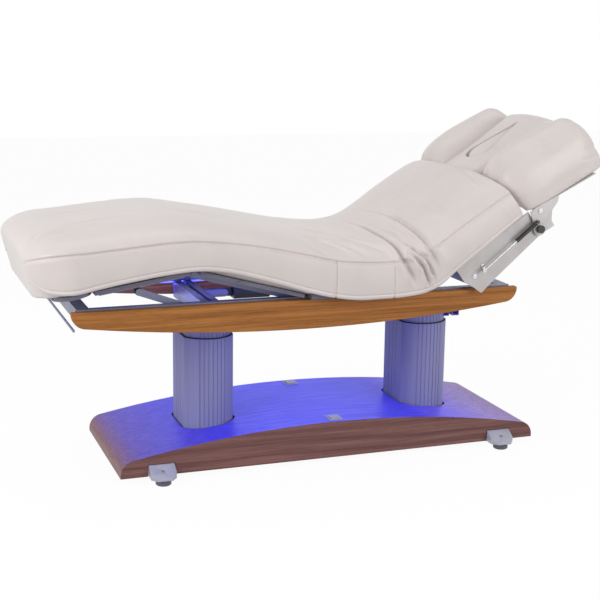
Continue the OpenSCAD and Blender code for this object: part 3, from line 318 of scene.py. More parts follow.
leatherLook = {"colour": (0.755, 0.685, 0.665), "gloss": (0.29, 0.39)}
railLook = {"pale": (0.50, 0.205, 0.058, 1), "deep": (0.235, 0.082, 0.021, 1), "figure": 0.5,
            "gloss": (0.46, 0.6), "coat": 0.02}
# the boards' dark purple-grey is painted shade and painted blue light on the plywood
boardLookPaintedBlueShade = {"pale": (0.22, 0.21, 0.27, 1), "deep": (0.16, 0.15, 0.20, 1), "figure": 0.3,
             "gloss": (0.6, 0.7), "coat": 0.0}
baseLook = {   # the painted LED light gives the upper face its colour along the base, from its foot end (0) to its head end (1), fading towards both ends and darker beside the columns as painted shade
    "pale": (0.28, 0.135, 0.115, 1), "deep": (0.125, 0.052, 0.050, 1), "figure": 0.9, "half": 0.725,
    "cover": 0.92, "glow": 0.24, "upward": (0.25, 0.90),
    "paleStreak": (1.12, 1.13, 1.02, 1), "deepStreak": (0.60, 0.55, 0.80, 1),
    "paintedLedWash": [(0.0, (0.17, 0.065, 0.12)), (0.015, (0.16, 0.075, 0.24)), (0.05, (0.10, 0.065, 0.46)),
             (0.13, (0.07, 0.06, 0.62)), (0.22, (0.06, 0.05, 0.74)), (0.35, (0.09, 0.10, 0.92)),
             (0.55, (0.10, 0.11, 0.98)), (0.70, (0.07, 0.065, 0.86)), (0.80, (0.18, 0.13, 0.86)),
             (0.90, (0.30, 0.20, 0.62)), (1.0, (0.26, 0.16, 0.36))]}
coats = {   # painted, cast and moulded finishes
    # the frame's grey paint is darkened and tinted blue here: painted shade and painted blue light under the bed
    "grey_painted_steel": ("greyCoatPaintedBlueShade", {"colour": (0.24, 0.25, 0.38), "gloss": 0.34, "metal": 0.25}),
    "paleCoat": ("palePlateCoat", {"colour": (0.56, 0.535, 0.53), "gloss": 0.36, "metal": 0.15}),
    "greyPad": ("greyPad", {"colour": (0.11, 0.115, 0.145), "gloss": 0.5, "peel": 1400.0}),
    "cast_grey": ("paleCastCoat", {"colour": (0.47, 0.47, 0.55), "gloss": 0.38, "metal": 0.1, "peel": 600.0}),
    "dark_painted_steel": ("darkCoat", {"colour": (0.035, 0.035, 0.04), "gloss": 0.4}),
    "black_painted_steel": ("glossBlack", {"colour": (0.012, 0.012, 0.013), "gloss": 0.18}),
    "black_plastic": ("blackPlastic", {"colour": (0.022, 0.022, 0.024), "gloss": 0.42, "peel": 1400.0, "bump": 0.25}),
    "black_rubber": ("blackRubber", {"colour": (0.012, 0.012, 0.012), "gloss": 0.7, "peel": 1800.0}),
    "heating_film": ("carbonFilm", {"colour": (0.02, 0.02, 0.02), "gloss": 0.55, "peel": 400.0}),
}
finishes = {slot: coated(name, look) for slot, (name, look) in coats.items()}
finishes.update({
    "leatherette": leatherette("paleLeatherette", leatherLook),
    "rail_wood": veneer("railVeneer", railLook),
    "base_wood": baseVeneerPaintedLedLight("baseVeneerPaintedLedLight", baseLook),
    "plywood": veneer("plywoodPaintedBlueShade", boardLookPaintedBlueShade),
    # the aluminium's blue tint is painted blue light and a painted reflection of the lit base
    "column_aluminium": drawnMetal("ribbedAluminiumPaintedBlueLight", {"colour": (0.265, 0.265, 0.45), "gloss": 0.6, "metal": 0.12}),
    "bright_steel": drawnMetal("groundSteel", {"colour": (0.66, 0.66, 0.68), "gloss": 0.22, "metal": 1.0}),
    "light_bar": lightBar("blueBar", {"colour": (0.45, 0.5, 0.9, 1), "glow": (0.10, 0.10, 1.0, 1), "strength": 2.5}),
})
slotOf = {s["node"]: s["material_slot"] for s in frame["record"]["subparts"]}


def finishWith(thing, slot):
    thing.data.materials.clear()
    thing.data.materials.append(finishes[slot])


# nodes whose look in the photo differs from their slot's usual finish
ownFinish = {"rocker_front": "cast_grey", "rocker_rear": "cast_grey", "side_plates": "paleCoat",
             "head_brackets": "paleCoat", "head_board": "leatherette"}
ownFinish.update({n: "greyPad" for n in nodes if n.startswith("foot_") and n != "foot_brackets"})
for name, thing in nodes.items():
    finishWith(thing, ownFinish.get(name, slotOf[name]))
print("materials made:", len(finishes))


# mesh helpers
def addObject(name, data):
    thing = bpy.data.objects.new(name, data)
    scene.collection.objects.link(thing)
    return thing


def reshaped(thing, change):   # runs change on the object's mesh
    b = bmesh.new()
    b.from_mesh(thing.data)
    change(b)
    b.to_mesh(thing.data)
    b.free()
    return thing


def outward(thing):   # normals out, from the closed volume
    def change(b):
        bmesh.ops.remove_doubles(b, verts=b.verts, dist=1e-6)
        bmesh.ops.recalc_face_normals(b, faces=b.faces)
    return reshaped(thing, change)


def sharpRims(thing, rimAngle=60):   # keeps end caps from bending the shading of the sides
    def change(b):
        for edge in b.edges:
            if len(edge.link_faces) == 2 and math.degrees(edge.calc_face_angle(0)) > rimAngle:
                edge.smooth = False
    return reshaped(thing, change)


def makeShell(name, rings, smooth=True):   # closed leather shell over rings of equal length, capped at both ends
    count, length = len(rings), len(rings[0])
    faces = [(i * length + j, i * length + (j + 1) % length, (i + 1) * length + (j + 1) % length, (i + 1) * length + j)
             for i in range(count - 1) for j in range(length)]
    faces += [tuple(range(length)), tuple(range((count - 1) * length, count * length))]
    mesh = bpy.data.meshes.new(name)
    mesh.from_pydata([tuple(p) for p in np.concatenate(rings)], [], faces)
    mesh.validate()
    thing = addObject(name, mesh)
    mesh.shade_smooth() if smooth else mesh.shade_flat()
    finishWith(thing, "leatherette")
    return outward(thing)


def bake(thing):   # modifiers into the mesh
    graph = bpy.context.evaluated_depsgraph_get()
    mesh = bpy.data.meshes.new_from_object(thing.evaluated_get(graph))
    thing.modifiers.clear()
    old, thing.data = thing.data, mesh
    bpy.data.meshes.remove(old)
    return thing


merging = {"distance": 2e-5, "flat": math.radians(0.6), "sharp": math.radians(38)}


def softened(name, look):   # a merged copy of a CAD node with its edges broken, standing for that node
    def change(b):
        bmesh.ops.remove_doubles(b, verts=b.verts, dist=merging["distance"])
        bmesh.ops.dissolve_limit(b, angle_limit=merging["flat"], verts=b.verts, edges=b.edges)
    source = nodes[name]
    thing = reshaped(addObject(look["as"], source.data.copy()), change)
    bevel = thing.modifiers.new("edge", "BEVEL")
    bevel.width, bevel.segments = look["edge"], 2
    bevel.limit_method, bevel.angle_limit = "ANGLE", math.radians(look["over"])
    bake(thing)
    thing.data.shade_smooth()
    thing.data.set_sharp_from_angle(angle=merging["sharp"])
    finishWith(thing, slotOf[name])
    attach(thing, source["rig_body"])
    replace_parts(thing, name)


# mattress: one soft body over four boards, laid out from smooth guide lines
mattress = {"half": 0.375, "boardHalf": 0.3425, "boardGap": 0.001, "flatShare": 0.965, "bottom": 0.0125,
            "lipRound": 0.008, "sideBelly": 0.004, "sideShare": 0.9, "domePower": 3.4, "seamTuck": 0.0065,
            "seamWidth": 0.0045, "welt": 0.015, "weltTuck": 0.0022, "weltWidth": 0.0024, "footLean": 6.0,
            "footLeanLength": 0.17, "footCorner": 0.125, "footDrop": 0.070, "footDropLength": 0.13,
            "seamDrop": 0.55, "footRaise": 0.036, "footRaiseLength": 0.05, "neckDrop": 0.018,
            "neckDropLength": 0.06, "neckFrom": 1.42, "neckRoom": 0.24, "neckPower": 1.2, "neckCrown": 0.016,
            "pinchTo": 1.19, "pinchFade": 0.05, "pinchFrom": 1.42, "pinchReturn": 0.06, "hipPinch": 0.5}
grid = {"halfPoints": 150, "seam": (4.5, 0.010), "welt": (3.5, 0.006), "under": 0.55, "underShare": 0.96,
        "measuredAt": 0.7}   # how many points half a ring has and where they stand closer
footAt, neckAt = 0.047, 1.711   # ends of the mattress; places along the boards count from the foot end
hinges = {"knee": {"at": 0.525, "room": 0.14, "corner": 0.03}, "lap": {"at": 0.898, "room": 0.13, "corner": 0.04},
          "hip": {"at": 1.324, "room": 0.15, "corner": 0.05}}
seatSeams = (0.977, 1.176)
foldsAt = 1.28
stepWhole = 0.0058
stepFine = {"end": (0.0012, 0, 0.07), "seam": (0.0014, 0.006, 0.036), "folds": (0.0034, 0.10, 0.15)}
stitchBeside = 0.0066
firstGuess = {"low": 0.02, "seam": 0.10, "top": 0.15}
guides = {   # X from the middle of the base and height over the floor, at the near side
    "low": [(-1.06, 0.64), (-1.0, 0.642), (-0.93, 0.636), (-0.87, 0.637), (-0.8, 0.651), (-0.7, 0.668),
        (-0.6, 0.682), (-0.503, 0.69), (-0.42, 0.682), (-0.347, 0.665), (-0.25, 0.637), (-0.16, 0.608),
        (-0.083, 0.587), (0.0, 0.573), (0.087, 0.571), (0.19, 0.574), (0.25, 0.583), (0.3, 0.604),
        (0.3567, 0.648), (0.4376, 0.709), (0.5889, 0.8188), (0.66, 0.87)],
    "seam": [(-1.1, 0.752), (-0.988, 0.753), (-0.84, 0.757), (-0.7, 0.768), (-0.6, 0.776), (-0.527, 0.778),
        (-0.407, 0.768), (-0.3, 0.752), (-0.184, 0.728), (-0.125, 0.714), (-0.062, 0.699), (0.032, 0.689),
        (0.124, 0.687), (0.203, 0.697), (0.268, 0.725), (0.392, 0.805), (0.547, 0.901), (0.66, 0.97)],
    "top": [(-1.12, 0.8), (-0.988, 0.808), (-0.84, 0.818), (-0.7, 0.832), (-0.6, 0.84), (-0.527, 0.84),
        (-0.407, 0.822), (-0.3, 0.803), (-0.184, 0.78), (-0.125, 0.768), (-0.062, 0.758), (0.032, 0.747),
        (0.124, 0.745), (0.203, 0.765), (0.268, 0.806), (0.392, 0.889), (0.5, 0.952), (0.66, 1.04)]}
creases = [   # depth, width, how far each end fades, then places along and across the surface
    (0.015, 0.01, 0.35, 0.06, [(1.185, -0.2), (1.201, 0.036), (1.196, 0.191), (1.201, 0.294), (1.207, 0.378),
        (1.225, 0.401), (1.24, 0.429), (1.252, 0.47)]),
    (0.011, 0.015, 0.45, 0.1, [(1.345, -0.22), (1.392, -0.05), (1.402, 0.06), (1.384, 0.184), (1.367, 0.29),
        (1.357, 0.389), (1.362, 0.44), (1.352, 0.48)]),
    (0.014, 0.007, 0.15, 0.05, [(1.208, 0.352), (1.248, 0.367), (1.274, 0.399), (1.295, 0.42), (1.306, 0.475)]),
    (0.011, 0.0085, 0.3, 0.1, [(1.236, 0.285), (1.262, 0.35), (1.281, 0.376), (1.318, 0.405), (1.33, 0.477)]),
    (0.008, 0.012, 0.45, 0.25, [(0.9, 0.02), (0.999, 0.121), (1.046, 0.17), (1.077, 0.235), (1.141, 0.306),
        (1.18, 0.372)]),
    (0.007, 0.011, 0.45, 0.3, [(0.915, 0.19), (1.004, 0.27), (1.057, 0.317), (1.1, 0.368)]),
    (0.004, 0.01, 0.45, 0.4, [(0.817, 0.325), (0.884, 0.343), (0.934, 0.362), (0.985, 0.385)]),
    (0.004, 0.012, 0.4, 0.4, [(0.86, 0.215), (0.935, 0.262), (0.985, 0.305), (1.04, 0.348)]),
    (0.0035, 0.009, 0.4, 0.3, [(1.255, 0.12), (1.262, 0.22), (1.25, 0.3)]),
    (0.003, 0.008, 0.4, 0.4, [(0.076, 0.262), (0.092, 0.222), (0.12, 0.188)]),
    (0.003, 0.008, 0.4, 0.4, [(0.1, 0.268), (0.14, 0.224), (0.19, 0.2)]),
    (0.0025, 0.016, 0.45, 0.45, [(0.11, -0.02), (0.23, -0.045), (0.4, -0.04)]),
    (0.0025, 0.016, 0.45, 0.45, [(0.15, 0.19), (0.27, 0.165), (0.44, 0.17)]),
    (0.003, 0.016, 0.45, 0.45, [(0.43, 0.06), (0.56, 0.09), (0.7, 0.08)]),
    (0.003, 0.012, 0.45, 0.4, [(1.455, -0.1), (1.54, -0.02), (1.61, 0.04)]),
    (0.003, 0.012, 0.45, 0.4, [(1.5, 0.15), (1.505, 0.24), (1.5, 0.33)]),
    (0.005, 0.009, 0.4, 0.3, [(1.702, 0.1), (1.682, 0.22), (1.662, 0.34)]),
    (0.003, 0.009, 0.4, 0.3, [(1.3, -0.32), (1.262, -0.355), (1.24, -0.4), (1.25, -0.47)]),
    (0.005, 0.01, 0.3, 0.1, [(1.2, -0.3), (1.212, -0.38), (1.24, -0.43), (1.25, -0.475)])]


def ease(t):
    return math.sqrt(1 - (1 - min(max(t, 0), 1)) ** 2)


def smoothStep(t):
    t = min(max(t, 0), 1)
    return t * t * (3 - 2 * t)


def bell(distance, width):
    return np.exp(-(distance / width) ** 2)


def angles(first, last, count):
    return np.radians(np.linspace(first, last, count))


def guideCurve(points):   # smooth height over X through the points
    x, z = np.array(points).T
    slope = np.gradient(z, x)

    def at(v):
        i = min(max(int(np.searchsorted(x, v)) - 1, 0), len(x) - 2)
        span = x[i + 1] - x[i]
        t = (v - x[i]) / span
        return ((t * t * (2 * t - 3) + 1) * z[i] + t * t * (3 - 2 * t) * z[i + 1]
                + (t * (t * (t - 2) + 1)) * span * slope[i] + (t * t * (t - 1)) * span * slope[i + 1])
    return at


def heading(tilt):
    return np.array((math.cos(math.radians(tilt)), math.sin(math.radians(tilt))))


def boardLine(w):   # the line of the boards' hinges in the side plane, with small rounds at the hinges
    knee, lap, hip = (np.array((a.x - baseX, a.z)) for a in (kneeAxis, thighAxis, backAxis))

    def straight(v):
        if v < hinges["lap"]["at"]:
            return knee + heading(tilts["calf" if v < hinges["knee"]["at"] else "thigh"]) * (v - hinges["knee"]["at"])
        if v < hinges["hip"]["at"]:
            return lap + heading(tilts["seat"]) * (v - hinges["lap"]["at"])
        return hip + heading(tilts["back"]) * (v - hinges["hip"]["at"])

    for name, spot in (("knee", knee), ("lap", lap), ("hip", hip)):
        at, room = hinges[name]["at"], hinges[name]["corner"]
        if abs(w - at) < room:
            t = (w - at + room) / (2 * room)
            return (1 - t) ** 2 * straight(at - room) + 2 * t * (1 - t) * spot + t * t * straight(at + room)
    return straight(w)


def sectionTilt(w):   # how the cross-section at a place leans
    tilt = tilts["calf"]
    for name, a, b in (("knee", "calf", "thigh"), ("lap", "thigh", "seat"), ("hip", "seat", "back")):
        room = hinges[name]["room"]
        tilt += (tilts[b] - tilts[a]) * smoothStep((w - hinges[name]["at"] + room) / (2 * room))
    return tilt + mattress["footLean"] * smoothStep(1 - w / mattress["footLeanLength"])


def meet(spot, up, curve, guess):   # height along the section at which it meets a guide line
    low, high = guess - 0.14, guess + 0.16
    for _ in range(26):
        mid = (low + high) / 2
        if spot[1] + mid * up[1] < curve(spot[0] + mid * up[0]):
            low = mid
        else:
            high = mid
    return (low + high) / 2


def stepAt(w):   # distance to the next ring, closer at the ends, the seat's seams and the hip folds
    away = {"end": min(w - footAt, neckAt - w), "seam": min(abs(w - s) for s in seatSeams), "folds": abs(w - foldsAt)}
    return min(fine + (stepWhole - fine) * smoothStep((away[key] - near) / (far - near))
               for key, (fine, near, far) in stepFine.items())


def ringAt(half, low, seam, top, pinch, power):   # half a ring from the middle of the underside to the top, then mirrored
    m = mattress
    board, r = m["boardHalf"] * half / m["half"], min(m["lipRound"], (seam - low) / 5)
    flat, inner, lip, welt = board * m["flatShare"], board + m["boardGap"], low + r, low + m["welt"]
    points = [(flat * t, m["bottom"]) for t in np.linspace(0, 1, 30)]
    points += [(flat + (inner - flat) * t, m["bottom"] + (lip - m["bottom"]) * smoothStep(t))
               for t in np.linspace(0.15, 1, 12)]
    points += [(inner + r - r * math.cos(a), lip - r * math.sin(a)) for a in angles(15, 90, 6)]
    points += [(half - r + r * math.sin(a), lip - r * math.cos(a)) for a in angles(0, 90, 10)]
    points += [(half + m["sideBelly"] * math.sin(math.pi * t), lip + (seam - lip) * t)
               for t in np.linspace(0, 1, 120)[1:]]
    points += [(half * math.cos(a) ** (2 / power), seam + (top - seam) * math.sin(a)) for a in angles(0.5, 89.95, 300)]
    y, n = np.array(points + [(0.0, top)]).T
    (seamMore, seamReach), (weltMore, weltReach) = grid["seam"], grid["welt"]
    closer = seamMore * bell(n - seam, seamReach) + weltMore * bell(n - welt, weltReach)
    closer = 1 + (y > half * m["sideShare"]) * closer
    closer -= grid["under"] * (n < m["bottom"] + 0.0005) * (y < board * grid["underShare"])
    steps = np.hypot(np.diff(y), np.diff(n)) * (closer[1:] + closer[:-1]) / 2
    run = np.concatenate([[0], np.cumsum(steps)])
    even = np.linspace(0, run[-1], grid["halfPoints"])
    y, n = np.interp(even, run, y), np.interp(even, run, n)
    tuck = pinch * m["seamTuck"] * bell(n - seam, m["seamWidth"]) + m["weltTuck"] * bell(n - welt, m["weltWidth"])
    y = y - (y > half * m["sideShare"]) * tuck
    y[-1] = y[0] = 0
    return np.stack([np.concatenate([y, -y[-2:0:-1]]), np.concatenate([n, n[-2:0:-1]])], axis=1)


def layMattress():   # places along and across, the grid of points, and the points where the stitches run
    m, curves = mattress, {k: guideCurve(v) for k, v in guides.items()}
    places, rings, seams, w = [], [], [], footAt
    while w < neckAt:
        places.append(w)
        w += stepAt(w)
    places.append(neckAt)
    for w in places:
        fromFoot, spot, a = w - footAt, boardLine(w), math.radians(sectionTilt(w))
        up = np.array((-math.sin(a), math.cos(a)))
        low, seam, top = (meet(spot, up, curves[key], guess) for key, guess in firstGuess.items())
        toCorner = m["footCorner"] - min(fromFoot, m["footCorner"])
        half = m["half"] - m["footCorner"] + math.sqrt(max(m["footCorner"] ** 2 - toCorner ** 2, 0))
        drop = m["footDrop"] * (1 - ease(fromFoot / m["footDropLength"]))
        rounder = smoothStep((w - m["neckFrom"]) / m["neckRoom"])
        low += m["footRaise"] * (1 - ease(fromFoot / m["footRaiseLength"]))
        seam -= m["seamDrop"] * drop
        top += m["neckCrown"] * rounder - drop - m["neckDrop"] * (1 - ease((neckAt - w) / m["neckDropLength"]))
        looser = m["hipPinch"] + (1 - m["hipPinch"]) * smoothStep((m["pinchFrom"] - w) / m["pinchReturn"])
        pinch = 1 - smoothStep((w - m["pinchTo"]) / m["pinchFade"]) * looser
        ring = ringAt(half, low, seam, top, pinch, m["domePower"] - m["neckPower"] * rounder)
        y, n = ring.T
        rings.append(np.stack([baseX + spot[0] + n * up[0], y, spot[1] + n * up[1]], axis=1))
        side = (y > half * m["sideShare"]) & (np.arange(len(ring)) < grid["halfPoints"])
        seams.append([int(np.argmin(np.where(side, np.abs(n - seam - d), np.inf)))
                      for d in (-stitchBeside, stitchBeside)])
        if abs(w - grid["measuredAt"]) < 0.004:
            run = np.concatenate([[0], np.cumsum(np.linalg.norm(np.diff(ring, axis=0), axis=1))])
            across = run - run[grid["halfPoints"] - 1]
    return np.array(places), across, np.stack(rings), seams


def gridNormals(points):
    n = np.cross(np.roll(points, -1, axis=1) - np.roll(points, 1, axis=1), np.gradient(points, axis=0))
    n /= np.maximum(np.linalg.norm(n, axis=2, keepdims=True), 1e-9)
    return n * np.sign((n * (points - points.mean(axis=1, keepdims=True))).sum())


ridge = {"height": 0.5, "away": 2.1, "width": 1.2, "fadePower": 1.3}   # beside a crease, in crease widths


def creaseDepth(along, over, crease):   # soft valley with low ridges beside it
    depth, width, fadeIn, fadeOut, line = crease
    best, share = np.full(along.shape, np.inf), np.zeros(along.shape)
    line = np.array(line)
    lengths = np.linalg.norm(np.diff(line, axis=0), axis=1)
    total, run = lengths.sum(), 0.0
    for p, step, length in zip(line[:-1], np.diff(line, axis=0), lengths):
        t = np.clip(((along - p[0]) * step[0] + (over - p[1]) * step[1]) / length ** 2, 0, 1)
        d = np.hypot(along - p[0] - t * step[0], over - p[1] - t * step[1])
        share = np.where(d < best, (run + t * length) / total, share)
        best = np.minimum(d, best)
        run += length
    fade = (np.clip(share / fadeIn, 0, 1) * np.clip((1 - share) / fadeOut, 0, 1)) ** ridge["fadePower"]
    beside = ridge["height"] * bell(best - ridge["away"] * width, ridge["width"] * width)
    return depth * fade * (beside - bell(best, width))


sideSeam = {"depth": 0.0035, "width": 0.0035, "slant": 0.02, "top": 0.39, "from": 0.388, "to": 0.53}
unevenness = ((7.0, 0.0011), (19.0, 0.00035))   # scale and height of the slow unevenness of the filling
undersideFrom = 0.56                            # places across beyond this lie under the mattress
places, across, surface, seamIndex = layMattress()
along, over = np.meshgrid(places, across, indexing="ij")
push = sum(creaseDepth(along, over, c) for c in creases)
onSide = (np.abs(over) > sideSeam["from"]) * (np.abs(over) < sideSeam["to"])
for at in seatSeams:   # upright seams in the side panel of the seat
    off = along - at - sideSeam["slant"] * (np.abs(over) - sideSeam["top"])
    push = push - sideSeam["depth"] * bell(off, sideSeam["width"]) * onSide
for scale, amount in unevenness:
    values = [noise.noise(Vector((a * scale, o * scale, scale))) for a, o in zip(along.ravel(), over.ravel())]
    push = push + amount * np.array(values).reshape(along.shape)
push[:, np.abs(across) > undersideFrom] = 0
surface = surface + gridNormals(surface) * push[..., None]
normals = gridNormals(surface)
print("mattress grid:", surface.shape)


def softPart(thing):
    return thing


def mattressPiece(name, first, last):
    return softPart(sharpRims(makeShell(name, surface[first:last + 1])))


thighMiddle, seatSplit, lastRing = (int(np.searchsorted(places, v)) for v in (0.71, seatSeams[0], neckAt))
legMattress = mattressPiece("legMattress", 0, thighMiddle)
lapMattress = mattressPiece("lapMattress", thighMiddle, seatSplit)
backMattress = mattressPiece("backMattress", seatSplit, lastRing)


def bendWith(thing):
    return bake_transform(thing)


bendWith(legMattress)
bendWith(lapMattress)
bendWith(backMattress)
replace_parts(legMattress, "calf_cushion", "knee_fold")
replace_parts(lapMattress, "thigh_cushion", "lap_fold")
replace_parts(backMattress, "seat_cushion", "hip_fold", "back_cushion", "neck_fold")
print("mattress made:", sum(len(o.data.polygons) for o in (legMattress, lapMattress, backMattress)), "faces")


# top stitching and bolts: one small shape repeated along the edges or over the points of a mesh
def wire(tree, *pairs):
    for a, b in pairs:
        tree.links.new(a, b)


def rowTree(name, makeShape):
    tree, ids = bpy.data.node_groups.new(name, "GeometryNodeTree"), {}
    for label, way, kind in (("Geometry", "INPUT", "Geometry"), ("Spacing", "INPUT", "Float"),
                             ("Finish", "INPUT", "Material"), ("Geometry", "OUTPUT", "Geometry")):
        ids[label] = tree.interface.new_socket(name=label, in_out=way, socket_type="NodeSocket" + kind).identifier
    source, sink = tree.nodes.new("NodeGroupInput").outputs, tree.nodes.new("NodeGroupOutput")
    points, rotation, shape = makeShape(tree, source)
    copies = addNode(tree, "GeometryNodeInstanceOnPoints", Points=points, Instance=shape, Rotation=rotation)
    real, paint = tree.nodes.new("GeometryNodeRealizeInstances"), tree.nodes.new("GeometryNodeSetMaterial")
    wire(tree, (copies.outputs[0], real.inputs[0]), (real.outputs[0], paint.inputs["Geometry"]),
         (source["Finish"], paint.inputs["Material"]), (paint.outputs[0], sink.inputs[0]))
    return tree, ids


stitching = {"length": 0.0032, "radius": 0.00045, "spacing": 0.0056, "lift": 0.0003,
             "from": 0.10, "to": 1.70, "folds": (1.20, 1.39)}
bolting = {"radius": 0.0055, "depth": 0.005, "washerRadius": 0.0085, "washerDepth": 0.0022}


def stitchShape(tree, source):
    curve, even, tangent = (tree.nodes.new("GeometryNode" + k) for k in ("MeshToCurve", "ResampleCurve", "InputTangent"))
    even.mode = "LENGTH"
    align = addNode(tree, "FunctionNodeAlignRotationToVector", axis="X", Vector=tangent.outputs[0])
    ball = addNode(tree, "GeometryNodeMeshIcoSphere", Radius=1.0, Subdivisions=1)
    size = addNode(tree, "GeometryNodeTransform", Geometry=ball.outputs["Mesh"],
                   Scale=(stitching["length"] / 2, stitching["radius"], stitching["radius"]))
    wire(tree, (source["Geometry"], curve.inputs[0]), (curve.outputs[0], even.inputs["Curve"]),
         (source["Spacing"], even.inputs["Length"]))
    return even.outputs[0], align.outputs[0], size.outputs[0]


def boltShape(tree, source):   # hexagon head on a washer, lying along Y
    hexagon = addNode(tree, "GeometryNodeMeshCylinder", Vertices=6, Radius=bolting["radius"], Depth=bolting["depth"])
    washer = addNode(tree, "GeometryNodeMeshCylinder", Vertices=24, Radius=bolting["washerRadius"],
                     Depth=bolting["washerDepth"])
    turn = addNode(tree, "FunctionNodeEulerToRotation", Euler=(math.pi / 2, 0, 0))
    both = tree.nodes.new("GeometryNodeJoinGeometry")
    wire(tree, (hexagon.outputs["Mesh"], both.inputs[0]), (washer.outputs["Mesh"], both.inputs[0]))
    return source["Geometry"], turn.outputs[0], both.outputs[0]


def makeRow(name, points, edges, makeShape, spacing, slot):
    mesh = bpy.data.meshes.new(name)
    mesh.from_pydata([tuple(p) for p in points], edges, [])
    thing = addObject(name, mesh)
    tree, ids = rowTree(name + "Tree", makeShape)
    step = thing.modifiers.new("row", "NODES")
    step.node_group = tree
    step[ids["Spacing"]], step[ids["Finish"]] = spacing, finishes[slot]
    bake(thing)
    finishWith(thing, slot)
    return thing


def stitchRow(name, first, last):   # double rows beside the top seam on both sides, left out at the hip folds
    points, edges = [], []
    foldFrom, foldTo = stitching["folds"]
    for row in (0, 1):
        for flip in (False, True):
            start = len(points)
            for i in range(first, last + 1):
                w, j = places[i], seamIndex[i][row]
                if w < stitching["from"] or w > stitching["to"] or foldFrom < w < foldTo:
                    start = len(points)
                    continue
                j = len(across) - j if flip else j
                points.append(surface[i, j] + normals[i, j] * stitching["lift"])
                if len(points) - 1 > start:
                    edges.append((len(points) - 2, len(points) - 1))
    return makeRow(name, points, edges, stitchShape, stitching["spacing"], "leatherette")


bendWith(stitchRow("stitchesLeg", 0, thighMiddle))
bendWith(stitchRow("stitchesLap", thighMiddle, seatSplit))
bendWith(stitchRow("stitchesBack", seatSplit, lastRing))
bolts = {"plateBolts": ("back_section", ((0.4347, 0.3415, 0.6215), (0.4637, 0.3415, 0.6543))),
         "bracketBolts": ("head_section", ((0.6611, 0.3515, 0.8303),))}   # from the middle of the base
for name, (body, spots) in bolts.items():
    both = [(baseX + x, side * y, z) for x, y, z in spots for side in (-1, 1)]
    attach(makeRow(name, both, [], boltShape, 0.0, "bright_steel"), body)
print("stitches and bolts made")

# head cushions, in the head section's own frame: s along it, y across it and n above its board
head = {"boardTop": 0.083, "lean": 0.36, "footLength": 0.120, "innerFoot": 0.126, "innerEnd": 0.166,
        "padStart": -0.020, "padEnd": 0.302, "padHeightFoot": 0.128, "padHeightEnd": 0.162, "padCrown": 0.008,
        "padShoulder": 0.72, "padEndHeight": 0.72, "padEndRound": 0.040, "padRings": 40}
bolster = {"start": -0.018, "end": 0.308, "half": 0.362, "narrowShare": 0.93, "height": 0.174, "crown": 0.010,
           "gap": 0.001, "lip": 0.0135, "lipWidth": 0.019, "rings": 56, "flatShare": 0.34, "seamShare": 0.46,
           "footRound": 0.120, "endRound": 0.060, "leastWidth": 0.80, "footHeight": 0.50, "endHeight": 0.55,
           "puckers": 0.0016, "puckerCount": 90, "puckerShift": 4, "puckerLength": 0.05, "puckerAbove": 0.05}
plug = {"centre": 0.062, "radius": 0.056, "tip": 0.232, "rise": 0.014, "gap": 0.0006, "cut": (0.02, 0.40),
        "sides": [(-0.012, 0.0006), (0.09, 0.0006)],   # height and inset of the sides
        "crown": [(-0.024, 0.0012), (-0.016, 0.0035), (-0.010, 0.0075), (-0.006, 0.0125), (-0.003, 0.019),
                  (-0.001, 0.028), (0.0005, 0.040), (0.001, 0.052)]}   # height from the top, and inset


def innerEdge(s):   # half width of the middle pad, narrower at the neck
    return head["innerFoot"] + (head["innerEnd"] - head["innerFoot"]) * smoothStep(s / head["padEnd"])


def onHead(s, y, n):   # from the head frame to the row frame
    a = math.radians(tilts["head"])
    s, y, n = np.broadcast_arrays(s, y, n + head["boardTop"])
    return np.stack([headAxis.x + s * math.cos(a) - n * math.sin(a), y,
                     headAxis.z + s * math.sin(a) + n * math.cos(a)], axis=1)


def aboveBoard(points):   # height over the head board of points in the row frame
    a = math.radians(tilts["head"])
    return (points[:, 2] - headAxis.z) * math.cos(a) - (points[:, 0] - headAxis.x) * math.sin(a) - head["boardTop"]


def loafRing(half, height, flatShare, seamShare, crown, turns, lips=(0.0, 0.0)):   # a lip hangs over the board's edge
    r, shoulder = min(0.012, half * 0.3), half - bolster["lipWidth"]
    edge, seam = half * flatShare, height * seamShare
    sides = []
    for lip in lips:
        side = [(half * t, 0) for t in (0, 0.3, 0.6)]
        side += [(shoulder - 0.001, 0), (shoulder, -lip / 2), (shoulder + 0.001, -lip)]
        side += [(half - r + r * math.sin(a), r - r * math.cos(a) - lip) for a in angles(0, 90, 5)]
        side += [(half + 0.003 * math.sin(math.pi * t), r - lip + (seam - r + lip) * t)
                 for t in np.linspace(0.2, 0.95, 5)]
        side += [(edge + (half - edge) * math.cos(a), seam + (height - seam) * math.sin(a))
                 for a in angles(0, 90, turns)]
        sides.append(side + [(edge * (1 - t), height + crown * (1 - (1 - t) ** 2)) for t in np.linspace(0.2, 1, 5)])
    return np.array(sides[0] + [(-y, n) for y, n in sides[1][-2:0:-1]])


puffing = {"voxel": 0.006, "pressure": 4.0, "frames": 20, "quality": 6, "travel": 0.007, "heldBelow": 0.028}


def vertexPlaces(thing):
    flat = np.empty(len(thing.data.vertices) * 3)
    thing.data.vertices.foreach_get("co", flat)
    return flat.reshape(-1, 3)


